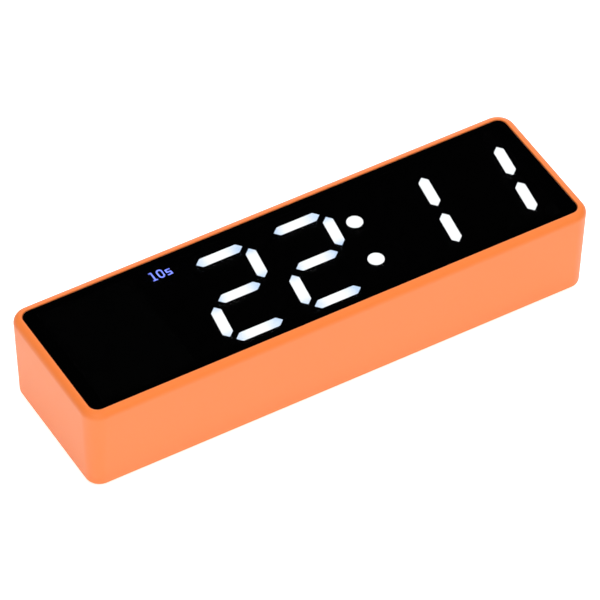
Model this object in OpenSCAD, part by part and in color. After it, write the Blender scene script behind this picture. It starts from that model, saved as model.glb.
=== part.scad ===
// Battery-powered desk alarm clock: a long, low box that lies on its back,
// with a smoked display window set flush into its upper face.
// +X runs along the display in reading direction, +Y towards the top of the
// digits, +Z out of the display. The origin is at the bottom centre.

/* [Housing] */
// Length of the housing at its widest
body_length = 150; // [138:0.5:220]
// Width of the housing at its widest
body_width = 44.5; // [43:0.1:70]
// Depth of the housing from its back face to its rim
body_depth = 26.9; // [25:0.1:45]
// Draft of the side walls, in degrees
draft = 2.2; // [1:0.1:4]
// Corner radius of the housing seen from the front, at its widest
corner_r = 5; // [4.5:0.1:9]
// Rounding of the front edge
front_r = 2; // [1:0.1:2.1]
// Rounding of the back edge
back_r = 0.8; // [0.4:0.1:2]
// Thickness of the side walls
wall = 2.4; // [2.2:0.1:3.4]
// Thickness of the back
floor_t = 2.2; // [1.8:0.1:3]

/* [Display] */
// Thickness of the smoked window
lens_t = 2; // [1:0.1:3]
// How far the window lies below the rim
lens_recess = 0.1; // [0:0.05:0.5]
// Gap all round the window
lens_gap = 0.1; // [0.05:0.05:0.3]
// Thickness of the adhesive frame under the window
glue_t = 0.3; // [0.1:0.1:0.6]
// Thickness of the black front frame
frame_t = 2; // [1.5:0.1:3]
// Depth of the light wells, from the board to the adhesive
well_depth = 7.4; // [6:0.1:10]
// Distance between the left and right bars of a digit
digit_w = 16.27; // [14:0.01:18]
// Distance between the top and middle bars of a digit
digit_rise = 14.05; // [12:0.01:14.5]
// Width of a bar
bar_w = 3; // [2:0.1:3.5]
// Slant of the digits, in degrees
slant = 8.3; // [0:0.1:12]
// Pitch of the two digits of a pair
digit_pitch = 23.2; // [22:0.1:24]
// Extra distance between the pairs, for the colon
colon_space = 5.9; // [5:0.1:9]
// Distance from the right end of the housing to the axis of the last digit
digit_end = 18.55; // [18.5:0.05:30]
// How far the digits sit below the middle of the window
digit_drop = 0.35; // [0:0.05:1.6]
// Diameter of a colon dot
dot_d = 4.45; // [3:0.05:5]
// Height of the numerals of the seconds mark
mark_h = 3.1; // [2:0.1:4]

/* [Electronics] */
// Thickness of the main board
board_t = 1.6; // [1:0.1:2]
// Diameter of the speaker
speaker_d = 28; // [24:0.5:30]
// Height of the speaker
speaker_h = 8.2; // [6:0.1:9]
// Width of the battery cell
cell_w = 25; // [15:0.5:26]
// Thickness of the battery cell
cell_t = 9; // [5:0.1:9.5]
// Thickness of the holding magnets
magnet_t = 3; // [1.5:0.1:4]

/* [Controls] */
// Length of a button
button_l = 9; // [7:0.1:11]
// Height of a button
button_h = 4.6; // [3.5:0.1:5]
// Distance between buttons
button_pitch = 16; // [14.5:0.1:20]
// Travel of a button
button_travel = 0.5; // [0.2:0.05:0.7]
// Travel of the power switch
switch_travel = 2; // [1.5:0.1:2.5]

/* [Fasteners] */
// Diameter of the case screws' core
screw_d = 2.2; // [1.8:0.1:2.6]
// Diameter of the case screws' heads
screw_head_d = 4.6; // [4:0.1:4.8]
// Length of the case screws under the head
screw_l = 9.5; // [8:0.5:14]
// How far the rubber pads stand out of the back
pad_proud = 0.5; // [0.3:0.1:1]

/* [Hidden] */
$fn = 48;

// Small clearances and cuts
seat = 0.02;   // pieces that are glued or pushed together
play = 0.15;   // pieces that move past each other
cut = 1;       // how far a cut runs past the face that it opens

// Heights, from the pads up
back_z = pad_proud;
rim_z = back_z + body_depth;
widest_z = rim_z - front_r;
floor_z = back_z + floor_t;
lens_z = rim_z - lens_recess - lens_t;
glue_z = lens_z - glue_t;
frame_z = glue_z - frame_t;
board_top = glue_z - well_depth;
board_z = board_top - board_t;

// The straight runs between the housing's corners, halved
run_x = body_length / 2 - corner_r;
run_y = body_width / 2 - corner_r;

// How far the drafted wall has drawn in at a height, and what is left
function drawn_in(z) = tan(draft) * (widest_z - z);
function outer_x(z) = body_length / 2 - drawn_in(z);
function outer_y(z) = body_width / 2 - drawn_in(z);
function inner_x(z) = outer_x(z) - wall;
function inner_y(z) = outer_y(z) - wall;

// Window, adhesive and frame, all halved
lens_x = inner_x(lens_z) - lens_gap;
lens_y = inner_y(lens_z) - lens_gap;
lens_r = corner_r - wall - lens_gap;
frame_gap = 0.2;
glue_edge = 4;         // width of the adhesive at the two ends
frame_x = inner_x(frame_z) - frame_gap;
frame_y = inner_y(frame_z) - frame_gap;

// Digits
digit_y = -digit_drop;
last_x = body_length / 2 - digit_end;
digit_x = [last_x - 3 * digit_pitch - colon_space, last_x - 2 * digit_pitch - colon_space,
    last_x - digit_pitch, last_x];
bar_side_gap = 1.3;    // from a bar's tip to the axis of the next, along a row
bar_end_gap = 1.5;     // and along a column
middle_gap = 1.92;     // from the middle bar's tips to the columns
dot_x = (digit_x[1] + digit_x[2]) / 2;
dot_rise = 7.2;
// Bars a to g, lit (1) or unlit (0), for each of the four digits
LIT = [[1, 1, 0, 1, 1, 0, 1], [1, 1, 0, 1, 1, 0, 1], [0, 1, 1, 0, 0, 0, 0], [0, 1, 1, 0, 0, 0, 0]];
BARS = [0:6];

// Seconds mark and the reflector block around the display
mark_x = digit_x[0] - 14.28;
mark_y = 14.05;
mark_w = 5.8;
mark_left = mark_x - mark_w / 2;
mark_stroke = 0.4;
mark_slot = 1.1;
reflector_left = mark_left - 4.5;
reflector_right = last_x + digit_w / 2 + 4.1;
reflector_low = digit_y - digit_rise - bar_w / 2 - 1.25;
reflector_high = mark_y + mark_h + 1.15;

// Case screws and the bosses around them
boss_x = body_length / 2 - 6.8;
boss_y = body_width / 2 - 6.75;
boss_r = screw_d / 2 + 1.9;
foot_r = screw_head_d / 2 + 1.5;
foot_top = floor_z + 3.8;
seat_z = floor_z + 0.8;
head_h = 1.8;
head_gap = 0.3;
shank_gap = 0.35;
cross_l = 2.94;
cross_w = 0.7;
cross_deep = 1;
pilot_depth = screw_l - (foot_top - seat_z) + 1;

// Main board
board_left = -body_length / 2 + 13;
board_right = body_length / 2 - 7.6;
board_low = -boss_y - 2.8;
board_high = body_width / 2 - 6.55;
notch_gap = 0.3;
post_r = 2;
post_x = -body_length / 2 + 21;
post_y = boss_y - 1.6;
board_screw_d = 1.6;
board_screw_head_d = 3;
board_screw_head_h = 1.2;
board_screw_l = 4.2;
counter_y = digit_y - digit_rise / 2;
BOARD_SCREWS = [[post_x, post_y], [post_x, -post_y],
    [digit_x[0] - tan(slant) * digit_rise / 2, counter_y],
    [digit_x[3] - tan(slant) * digit_rise / 2, counter_y]];
board_screw_cross = [1.8, 0.4, 0.7];
led_size = [1.6, 0.8, 0.8];

// Chips and small parts under the board: sizes, places and legs
micro_size = [7, 7, 1.2];
driver_size = [4, 10, 1.5];
charger_size = [4, 5, 1.4];
amplifier_size = [3, 5, 1.1];
fine_pitch = 0.8;
coarse_pitch = 1.27;
chip_lift = 0.1;
leg_reach = 1;
leg_t = 0.35;
crystal_l = 6.2;
crystal_d = 2.1;
capacitor_size = [2, 1.25, 1.25];
resistor_size = [1.6, 0.8, 0.5];
resistor_pitch = [3.2, -2];
inductor_size = [5, 5, 3];

// Buttons along the top side
BUTTONS = [-2:2];
button_drop = 3.2;
button_z = board_z - button_drop;
plunger_r = 1.75;
case_size = [6, 3.5, 6.3];
case_y = board_high - 4.8;
plunger_y = case_y + case_size[1] + 1.5;
plunger_root = plunger_y - 2.4;
flange_edge = 1;
flange_t = 1.15;
strip_depth = 0.65;
strip_edge = 1.4;
face_y = body_width / 2 - 0.1;
flange_y = inner_y(button_z - button_h / 2 - flange_edge) - 0.1;
engraving = 0.3;
icon_w = 2.4;
icon_stroke = 0.5;

// Power end: socket, charge light and switch along the right-hand side
usb_y = -7;
usb_size = [7.3, 8.94, 3.2];
usb_wall = 0.3;
usb_base = 1;
usb_tongue_size = [5.4, 6.7, 0.7];
usb_z = board_z - usb_size[2] / 2;
usb_mouth = outer_x(usb_z) - 1.2;
usb_gap = 0.25;
end_recess = 0.8;
usb_recess_edge = 1.7;
light_y = 0;
light_d = 2;
light_z = board_z - 1.45;
light_back = board_right + 1.6;
charge_led_size = [1.4, 1.6, 2];
switch_y = 6.5;
switch_size = [4, 8.5, 3.5];
switch_z = board_z - switch_size[2] / 2;
switch_x = board_right - 2.9;
lever_w = 1.6;
knob_l = 3.6;
knob_h = 2.2;
knob_plate_t = 1;
knob_plate_edge = 1.2;
grip_pitch = 0.9;
grip_w = 0.4;
grip_deep = 0.3;
switch_recess_edge = [1.8, 1.2];
knob_face = body_length / 2 - 0.1;
knob_back = inner_x(switch_z - knob_h) - knob_plate_t - 0.2;
knob_y = switch_y - switch_travel / 2;

// Speaker at the left
speaker_x = -body_length / 2 + 27;
speaker_y = -2;
gasket_t = 0.5;
cone_gap = 1.2;
cone_t = 0.6;
cone_edge = 3.1;       // from the speaker's rim to the cone's
cone_roll = 5;         // and to the bottom of its surround
cone_neck = speaker_d * 0.14;
gasket_w = 2;
basket_lip = 1.2;
basket_wall = 1;
basket_end = 0.8;
basket_h = speaker_h / 2;
ring_gap = 0.2;
ring_t = 1;
grille_hole_d = 1.6;
grille_pitch = 3.2;
speaker_top = floor_z + gasket_t + speaker_h;

// Battery between the speaker and the right-hand end
cell_pad_t = 0.5;
cell_pad_inset = 3;
cell_board_edge = 3;
cell_left = speaker_x + speaker_d / 2 + 12;
cell_right = body_length / 2 - 47;
cell_low = -body_width / 2 + 5.35;
cell_z = floor_z + cell_pad_t;
cell_y = cell_low + cell_w / 2;
socket_x = cell_right + 12;
socket_y = -4;
micro_at = [speaker_x + 3, 0];
crystal_at = [speaker_x + 3, 9.5];
amplifier_at = [speaker_x + 15, -9];
driver_shift = 1.05;  // from midway between two switches, which the driver lies between
driver_at = [-button_pitch / 2 - driver_shift, 8];
charger_at = [socket_x + 9, 4];
inductor_at = [socket_x + 6, -11];
resistors_at = [digit_x[0] - 6, cell_y - 7];
CAPACITORS = [[speaker_x - 4, -2], [speaker_x - 4, 1], [speaker_x + 10, 4], [speaker_x + 10, 7],
    [speaker_x + 20, 4], [speaker_x + 20, 7], [driver_at[0] - 7, 8], [driver_at[0] + 7, 8],
    [socket_x + 2, 9], [socket_x + 15, 0], [socket_x + 15, 9]];
socket_size = [5, 7.5, 4.6];
plug_size = [4.4, 5.6, 2.8];
plug_out = 1.4;       // how far the plug stands out of its socket
plug_drop = 2.6;      // from the board down to the plug's middle
cell_board_t = 1;
lead_r = 0.6;
lead_reach = 4;       // how far a lead runs straight at its ends
lead_spread = 2;
lead_pitch = 0.9;
speaker_lead_r = 0.45;

// Magnets in pockets on the floor
end_magnet = [6, 18];
side_magnet = [20, 8];
end_magnet_x = body_length / 2 - 7.7;
side_magnet_x = 17;
side_magnet_y = cell_low + cell_w + 5.5;
pocket_wall = 0.8;
pocket_gap = 0.1;
pocket_h = 1.8;

// Pads and label on the back
pad_l = 14;
pad_w = 5;
pad_sunk = 0.5;
pad_x = body_length / 2 - 22;
pad_y = outer_y(back_z) - 5.5;
label_size = [46, 14];
label_t = 0.25;
label_x = 14;

// Solids shared by several pieces

module both_ways() {
    children();
    mirror([1, 0, 0]) children();
}

module four_ways() {
    both_ways() children();
    mirror([0, 1, 0]) both_ways() children();
}

// A rectangle with round corners, from its half sizes
module rounded_rect(x, y, r) {
    square([2 * x, 2 * (y - r)], center = true);
    square([2 * (x - r), 2 * y], center = true);
    for (sx = [-1, 1]) for (sy = [-1, 1])
        translate([sx * (x - r), sy * (y - r)]) circle(r);
}

// A rectangle with half-round ends, l long and w wide
module stadium(l, w) {
    square([l - w, w], center = true);
    for (side = [-1, 1])
        translate([side * (l - w) / 2, 0]) circle(w / 2);
}

module slab(low, size) {
    translate(low) cube(size);
}

// Turns a flat shape to face +Y (its x along +X, its y along +Z), l deep
module towards_y(x, y, z, l) {
    translate([x, y + l, z]) rotate([90, 0, 0]) linear_extrude(l) children();
}

// Turns a flat shape to face +X (its x along +Y, its y along +Z), l deep
module towards_x(x, y, z, l) {
    translate([x, y, z]) rotate([90, 0, 90]) linear_extrude(l) children();
}

// Half of the drafted wall's section, from the corner's axis outwards
module outer_profile() {
    front_z = rim_z - front_r;
    rear_z = back_z + back_r;
    front_c = corner_r - drawn_in(front_z) - front_r / cos(draft);
    rear_c = corner_r - drawn_in(rear_z) - back_r / cos(draft);
    polygon([[0, back_z], [rear_c, back_z],
        [rear_c + back_r * cos(draft), rear_z - back_r * sin(draft)],
        [front_c + front_r * cos(draft), front_z - front_r * sin(draft)],
        [front_c, rim_z], [0, rim_z]]);
    translate([front_c, front_z]) circle(front_r);
    translate([rear_c, rear_z]) circle(back_r);
}

module inner_profile() {
    top = rim_z + cut;
    polygon([[0, floor_z], [corner_r - wall - drawn_in(floor_z), floor_z],
        [corner_r - wall - drawn_in(top), top], [0, top]]);
}

// A drafted box: its profile swept round the four corners and along the sides
module drafted_box(low, high) {
    translate([-run_x, 0, 0]) rotate([90, 0, 90]) linear_extrude(2 * run_x) {
        translate([-run_y, low]) square([2 * run_y, high - low]);
        translate([run_y, 0]) children();
        mirror([1, 0]) translate([run_y, 0]) children();
    }
    both_ways() translate([run_x, run_y, 0]) rotate([90, 0, 0])
        linear_extrude(2 * run_y) children();
    four_ways() translate([run_x, run_y, 0]) rotate_extrude(angle = 90) children();
}

// A smooth lead along a bend with four control points, as a tube of flat sides
lead_sides = 8;
lead_steps = 14;
function bend(p, t) = pow(1 - t, 3) * p[0] + 3 * t * pow(1 - t, 2) * p[1]
    + 3 * t * t * (1 - t) * p[2] + pow(t, 3) * p[3];
function slope(p, t) = (1 - t) * (1 - t) * (p[1] - p[0]) + 2 * t * (1 - t) * (p[2] - p[1])
    + t * t * (p[3] - p[2]);
function unit(v) = v / norm(v);
function lead_ring(p, t, r, up) =
    let (d = unit(slope(p, t)), a = unit(cross(d, up)), b = cross(d, a))
    [for (i = [0:lead_sides - 1])
        bend(p, t) + r * (cos(360 * i / lead_sides) * a + sin(360 * i / lead_sides) * b)];
module lead(p, r, up) {
    rings = [for (k = [0:lead_steps]) each lead_ring(p, k / lead_steps, r, up)];
    sides = [for (k = [0:lead_steps - 1]) for (i = [0:lead_sides - 1])
        let (j = (i + 1) % lead_sides, s = k * lead_sides)
        each [[s + i, s + i + lead_sides, s + j], [s + j, s + i + lead_sides, s + j + lead_sides]]];
    polyhedron(rings, [[for (i = [0:lead_sides - 1]) i], each sides,
        [for (i = [lead_sides - 1:-1:0]) lead_steps * lead_sides + i]]);
}

// Display shapes, drawn flat

// A bar with pointed ends, slanted as the digits are; `rise` is its middle's height
module bar(x, rise, length, width, upright) {
    tip = length / 2;
    side = width / 2;
    flat = [[-tip, 0], [side - tip, side], [tip - side, side], [tip, 0],
        [tip - side, -side], [side - tip, -side]];
    points = [for (p = flat) upright ? [p[1], p[0]] : p];
    polygon([for (p = points) [x + p[0] + tan(slant) * (rise + p[1]), rise + p[1]]]);
}

// Bar number n of the digit about the origin: a to g as 0 to 6
module segment(n, grow) {
    across = digit_w - 2 * bar_side_gap;
    middle = digit_w - 2 * middle_gap;
    upright = digit_rise - 2 * bar_end_gap;
    wide = bar_w + grow;
    if (n == 0) bar(0, digit_rise, across + 2 * grow, wide, false);
    if (n == 3) bar(0, -digit_rise, across + 2 * grow, wide, false);
    if (n == 6) bar(0, 0, middle + 2 * grow, wide, false);
    if (n == 1) bar(digit_w / 2, digit_rise / 2, upright + 2 * grow, wide, true);
    if (n == 2) bar(digit_w / 2, -digit_rise / 2, upright + 2 * grow, wide, true);
    if (n == 4) bar(-digit_w / 2, -digit_rise / 2, upright + 2 * grow, wide, true);
    if (n == 5) bar(-digit_w / 2, digit_rise / 2, upright + 2 * grow, wide, true);
}

// All bars that are in the given state; any other state draws every bar
module segments(state, grow) {
    for (d = [0:3]) for (n = BARS)
        if (state < 0 || LIT[d][n] == state)
            translate([digit_x[d], digit_y]) segment(n, grow);
}

module dots(grow) {
    for (side = [-1, 1])
        translate([dot_x + side * dot_rise * tan(slant), digit_y + side * dot_rise])
            circle(d = dot_d + grow);
}

// The small numerals and the s of the seconds mark, from their left foot
module mark(grow) {
    s = mark_stroke + grow;
    thin = mark_stroke * 0.8;
    one_w = mark_h * 0.43;
    zero_w = mark_h * 0.57;
    small_w = mark_h * 0.47;
    small_h = mark_h * 0.72;
    translate([one_w / 2, mark_h / 2]) square([s, mark_h + grow], center = true);
    translate([one_w / 2, thin / 2]) square([one_w + grow, thin + grow], center = true);
    translate([one_w / 4, mark_h - thin / 2]) square([one_w / 2 + grow, thin + grow], center = true);
    translate([(mark_w + one_w - small_w) / 2, mark_h / 2]) difference() {
        rotate(90) stadium(mark_h + grow, zero_w + grow);
        rotate(90) stadium(mark_h - 2 * mark_stroke - grow, zero_w - 2 * mark_stroke - grow);
    }
    translate([mark_w - small_w, 0]) {
        for (h = [mark_stroke / 2, small_h / 2, small_h - mark_stroke / 2])
            translate([small_w / 2, h]) square([small_w + grow, thin + grow], center = true);
        translate([small_w - mark_stroke / 2, small_h / 4 + mark_stroke / 8])
            square([s, small_h / 2], center = true);
        translate([mark_stroke / 2, small_h * 3 / 4 - mark_stroke / 8])
            square([s, small_h / 2], center = true);
    }
}

// Flat outlines of the pieces inside

module reflector_outline(grow) {
    difference() {
        translate([reflector_left - grow, reflector_low - grow])
            square([reflector_right - reflector_left + 2 * grow,
                reflector_high - reflector_low + 2 * grow]);
        for (side = [-1, 1])
            translate([boss_x, side * boss_y]) circle(boss_r + notch_gap - grow);
    }
}

module board_outline() {
    difference() {
        translate([board_left, board_low])
            square([board_right - board_left, board_high - board_low]);
        for (side = [-1, 1])
            translate([boss_x, side * boss_y]) circle(boss_r + notch_gap);
    }
}

// Housing and window

module buttons_at() {
    for (i = BUTTONS) translate([i * button_pitch, 0, 0]) children();
}

module grille_holes() {
    for (ring = [0:3]) for (i = [0:max(0, 6 * ring - 1)])
        rotate(ring == 0 ? 0 : 60 * i / ring) translate([ring * grille_pitch, 0, back_z - cut])
            cylinder(h = floor_t + 2 * cut, d = grille_hole_d);
}

module pocket(size) {
    linear_extrude(pocket_h) difference() {
        square([size[0] + 2 * (pocket_gap + pocket_wall), size[1] + 2 * (pocket_gap + pocket_wall)],
            center = true);
        square([size[0] + 2 * pocket_gap, size[1] + 2 * pocket_gap], center = true);
    }
}

module housing_solid() {
    difference() {
        drafted_box(back_z, rim_z) outer_profile();
        drafted_box(floor_z, rim_z + cut) inner_profile();
    }
    intersection() {
        four_ways() translate([boss_x, boss_y, floor_z]) cylinder(h = foot_top - floor_z, r = foot_r);
        drafted_box(back_z, rim_z) outer_profile();
    }
    translate([speaker_x, speaker_y, floor_z]) difference() {
        cylinder(h = gasket_t + 2, d = speaker_d + 2 * (ring_gap + ring_t));
        translate([0, 0, -cut]) cylinder(h = gasket_t + 2 + 2 * cut, d = speaker_d + 2 * ring_gap);
    }
    both_ways() translate([end_magnet_x, 0, floor_z]) pocket(end_magnet);
    both_ways() translate([side_magnet_x, side_magnet_y, floor_z]) pocket(side_magnet);
}

module housing() {
    strip_l = 4 * button_pitch + button_l + 2 * strip_edge;
    strip_h = button_h + 2 * strip_edge;
    color("#ff9a5f") difference() {
        housing_solid();
        four_ways() translate([boss_x, boss_y, back_z - cut]) {
            cylinder(h = seat_z - back_z + cut, d = screw_head_d + 2 * head_gap);
            cylinder(h = foot_top - back_z + 2 * cut, d = screw_d + 2 * shank_gap);
        }
        translate([speaker_x, speaker_y, 0]) grille_holes();
        towards_y(0, outer_y(button_z) - strip_depth, button_z, cut) stadium(strip_l, strip_h);
        buttons_at() towards_y(0, run_y, button_z, corner_r + cut)
            stadium(button_l + 2 * play, button_h + 2 * play);
        towards_x(inner_x(usb_z) - cut, usb_y, usb_z, wall + 2 * cut)
            stadium(usb_size[1] + 2 * usb_gap, usb_size[2] + 2 * usb_gap);
        towards_x(outer_x(usb_z) - end_recess, usb_y, usb_z, cut)
            stadium(usb_size[1] + 2 * usb_recess_edge, usb_size[2] + 2 * usb_recess_edge);
        towards_x(inner_x(light_z) - cut, light_y, light_z, wall + 2 * cut) circle(d = light_d + 2 * seat);
        towards_x(inner_x(switch_z) - cut, switch_y, switch_z, wall + 2 * cut)
            square([knob_l + switch_travel + 2 * play, knob_h + 2 * play], center = true);
        towards_x(outer_x(switch_z) - end_recess, switch_y, switch_z, cut)
            stadium(knob_l + switch_travel + 2 * switch_recess_edge[0], knob_h + 2 * switch_recess_edge[1]);
        for (side = [-1, 1]) for (end = [-1, 1])
            translate([end * pad_x, side * pad_y, back_z - cut])
                linear_extrude(pad_sunk + cut) stadium(pad_l + 2 * seat, pad_w + 2 * seat);
    }
}

module lens() {
    color("#101010") translate([0, 0, lens_z]) linear_extrude(lens_t)
        rounded_rect(lens_x, lens_y, lens_r);
}

module lens_adhesive() {
    color("#303030") translate([0, 0, glue_z]) linear_extrude(glue_t) difference() {
        rounded_rect(lens_x - seat, lens_y - seat, lens_r - seat);
        translate([glue_edge - frame_x, reflector_low - play])
            square([2 * (frame_x - glue_edge), reflector_high - reflector_low + 2 * play]);
    }
}

module front_frame() {
    color("#151515") difference() {
        union() {
            translate([0, 0, frame_z]) linear_extrude(frame_t) difference() {
                rounded_rect(frame_x, frame_y, lens_r - frame_gap);
                reflector_outline(play);
            }
            four_ways() translate([boss_x, boss_y, foot_top])
                cylinder(h = glue_z - foot_top, r = boss_r);
            for (side = [-1, 1])
                translate([post_x, side * post_y, board_top])
                    cylinder(h = glue_z - board_top, r = post_r);
        }
        four_ways() translate([boss_x, boss_y, foot_top - cut])
            cylinder(h = pilot_depth + cut, d = screw_d + 2 * seat);
        for (side = [-1, 1])
            translate([post_x, side * post_y, board_top - cut])
                cylinder(h = board_screw_l - board_t + 2 * cut, d = board_screw_d + 2 * seat);
    }
}

module display_reflector() {
    color("#f4f4f0") difference() {
        translate([0, 0, board_top]) linear_extrude(well_depth) reflector_outline(0);
        translate([0, 0, board_top - cut]) linear_extrude(well_depth + 2 * cut) {
            segments(-1, 4 * seat);
            dots(4 * seat);
        }
        translate([mark_left, mark_y, frame_z]) linear_extrude(frame_t + cut) mark(2 * seat);
        slab([mark_left - mark_slot / 4, mark_y + (mark_h - mark_slot) / 2, board_top - cut],
            [mark_w + mark_slot / 2, mark_slot, well_depth - frame_t + 2 * cut]);
        for (i = [2, 3]) translate([BOARD_SCREWS[i][0], BOARD_SCREWS[i][1], board_top - cut])
            cylinder(h = board_screw_l - board_t + 2 * cut, d = board_screw_d + 2 * seat);
    }
}

module lit_segments() {
    color("white") translate([0, 0, frame_z]) linear_extrude(frame_t) segments(1, 0);
}

module unlit_segments() {
    color("#202020") translate([0, 0, frame_z]) linear_extrude(frame_t) segments(0, 0);
}

module colon_dots() {
    color("white") translate([0, 0, frame_z]) linear_extrude(frame_t) dots(0);
}

module seconds_mark() {
    color("#4d5fff") translate([mark_left, mark_y, frame_z]) linear_extrude(frame_t) mark(0);
}

// Board and what is soldered to it

module led() {
    translate([0, 0, led_size[2] / 2]) cube(led_size, center = true);
}

module white_leds() {
    tall = digit_rise / 2;
    lean = tan(slant) * tall;
    color("#fffbe0") translate([0, digit_y, board_top]) {
        for (x = digit_x) {
            for (row = [-1:1])
                translate([x + row * 2 * lean, row * digit_rise, 0]) led();
            for (row = [-1, 1]) for (side = [-1, 1])
                translate([x + side * digit_w / 2 + row * lean, row * tall, 0]) rotate(90) led();
        }
        for (side = [-1, 1])
            translate([dot_x + side * dot_rise * tan(slant), side * dot_rise, 0]) led();
    }
}

module blue_led() {
    color("#9fb4ff") translate([mark_x, mark_y + mark_h / 2, board_top]) led();
}

module main_board() {
    color("#1d5c3a") difference() {
        translate([0, 0, board_z]) linear_extrude(board_t) board_outline();
        for (at = BOARD_SCREWS)
            translate([at[0], at[1], board_z - cut])
                cylinder(h = board_t + 2 * cut, d = board_screw_d + 2 * play);
    }
}

// One slot of a screw's cross recess, from below
module cross_slot(size) {
    slab([-size[0] / 2, -size[1] / 2, -cut], [size[0], size[1], size[2] + cut]);
}

module board_screws() {
    color("silver") for (at = BOARD_SCREWS) translate([at[0], at[1], board_z]) {
        translate([0, 0, -board_screw_head_h]) difference() {
            cylinder(h = board_screw_head_h, d = board_screw_head_d);
            for (turn = [0, 90]) rotate(turn) cross_slot(board_screw_cross);
        }
        cylinder(h = board_screw_l, d = board_screw_d);
    }
}

// A chip under the board: its body, and legs on two or four sides
module chip(at, size, legs, pitch, sides) {
    color("#222222") translate([at[0], at[1], board_z]) {
        translate([0, 0, -size[2] - chip_lift]) linear_extrude(size[2])
            square([size[0], size[1]], center = true);
        for (turn = [0:sides - 1]) for (i = [0:legs - 1]) rotate(360 * turn / sides)
            slab([size[0] / 2 - chip_lift, (i - (legs - 1) / 2) * pitch - pitch / 4, -leg_t],
                [leg_reach + chip_lift, pitch / 2, leg_t]);
    }
}

module microcontroller() chip(micro_at, micro_size, 8, fine_pitch, 4);
module led_driver() chip(driver_at, driver_size, 8, coarse_pitch, 2);
module charger_chip() chip(charger_at, charger_size, 4, coarse_pitch, 2);
module audio_amplifier() chip(amplifier_at, amplifier_size, 4, coarse_pitch, 2);

module clock_crystal() {
    color("silver") translate([crystal_at[0], crystal_at[1], board_z - crystal_d / 2])
        rotate([0, 90, 0]) cylinder(h = crystal_l, d = crystal_d, center = true);
}

// Small blocks under the board, each at its place
module blocks(size, places) {
    for (at = places)
        translate([at[0], at[1], board_z - size[2] / 2]) cube(size, center = true);
}

module capacitors() {
    color("#b58a5a") blocks(capacitor_size, CAPACITORS);
}

module resistors() {
    color("#1a1a1a") blocks(resistor_size, [for (row = [0:2]) for (i = [0:6])
        [resistors_at[0] + resistor_pitch[0] * i, resistors_at[1] + resistor_pitch[1] * row]]);
}

module power_inductor() {
    color("#4a4a4a") blocks(inductor_size, [inductor_at]);
}

module usb_shell() {
    low = usb_mouth - usb_size[0];
    color("silver") difference() {
        towards_x(low, usb_y, usb_z, usb_size[0]) stadium(usb_size[1], usb_size[2]);
        towards_x(low + usb_base, usb_y, usb_z, usb_size[0])
            stadium(usb_size[1] - 2 * usb_wall, usb_size[2] - 2 * usb_wall);
    }
}

module usb_tongue() {
    size = usb_tongue_size;
    color("#202020") slab([usb_mouth - usb_size[0] + usb_base, usb_y - size[1] / 2, usb_z - size[2] / 2],
        size);
}

// Buttons: switch bodies on the board, plungers and caps that move together

module switch_bodies() {
    color("#2a2a2a") buttons_at() difference() {
        slab([-case_size[0] / 2, case_y, board_z - case_size[2]], case_size);
        towards_y(0, plunger_root - button_travel - play, button_z, case_size[1])
            circle(plunger_r + play);
    }
}

module plunger(i) {
    color("#e8e4d8") towards_y(i * button_pitch, plunger_root, button_z, plunger_y - plunger_root)
        circle(plunger_r);
}

module button_cap(i) {
    color("#ff8f4f") difference() {
        union() {
            towards_y(i * button_pitch, plunger_y, button_z, flange_y - flange_t - plunger_y + seat)
                circle(plunger_r);
            towards_y(i * button_pitch, flange_y - flange_t, button_z, flange_t)
                stadium(button_l + 2 * flange_edge, button_h + 2 * flange_edge);
            towards_y(i * button_pitch, flange_y - flange_t, button_z, face_y - flange_y + flange_t)
                stadium(button_l, button_h);
        }
        towards_y(i * button_pitch, face_y - engraving, button_z, cut) icon(i);
    }
}

// Engraved signs: ring, menu bars, minus, plus, start and pause
module icon(i) {
    w = icon_w;
    s = icon_stroke;
    if (i == -2) difference() {
        circle(d = w);
        circle(d = w - 2 * s);
    }
    if (i == -1) for (row = [-1:1]) translate([0, row * 0.85]) square([w, s * 0.8], center = true);
    if (i == 0 || i == 1) square([w, s], center = true);
    if (i == 1) square([s, w], center = true);
    if (i == 2) {
        polygon([[-w * 0.7, -w / 2], [w * 0.05, 0], [-w * 0.7, w / 2]]);
        for (x = [0.3, 0.62]) translate([w * x, 0]) square([s * 0.8, w], center = true);
    }
}

module mode_button() button_cap(-2);
module set_button() button_cap(-1);
module down_button() button_cap(0);
module up_button() button_cap(1);
module start_button() button_cap(2);
module mode_plunger() plunger(-2);
module set_plunger() plunger(-1);
module down_plunger() plunger(0);
module up_plunger() plunger(1);
module start_plunger() plunger(2);

// Power switch and charge light

module power_switch_case() {
    color("silver") difference() {
        slab([switch_x - switch_size[0] / 2, switch_y - switch_size[1] / 2, board_z - switch_size[2]],
            switch_size);
        slab([switch_x, switch_y - (lever_w + switch_travel) / 2 - play, switch_z - lever_w / 2 - play],
            [switch_size[0], lever_w + switch_travel + 2 * play, lever_w + 2 * play]);
    }
}

module power_switch_lever() {
    from = switch_x + play;
    color("#202020") slab([from, knob_y - lever_w / 2, switch_z - lever_w / 2],
        [knob_back - from, lever_w, lever_w]);
}

module power_knob() {
    wide = knob_l + 2 * knob_plate_edge;
    tall = knob_h + 2 * knob_plate_edge;
    color("#202020") {
        slab([knob_back, knob_y - wide / 2, switch_z - tall / 2], [knob_plate_t, wide, tall]);
        difference() {
            slab([knob_back, knob_y - knob_l / 2, switch_z - knob_h / 2],
                [knob_face - knob_back, knob_l, knob_h]);
            for (i = [-1:1])
                slab([knob_face - grip_deep, knob_y + i * grip_pitch - grip_w / 2, switch_z - knob_h],
                    [cut, grip_w, 2 * knob_h]);
        }
    }
}

module charge_light_pipe() {
    color("#f0f0f0") towards_x(light_back, light_y, light_z, outer_x(light_z) - light_back)
        circle(d = light_d);
}

module charge_led() {
    size = charge_led_size;
    color("#e8ffe8") slab([board_right - size[0], light_y - size[1] / 2, board_z - size[2]], size);
}

// Battery

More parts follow.
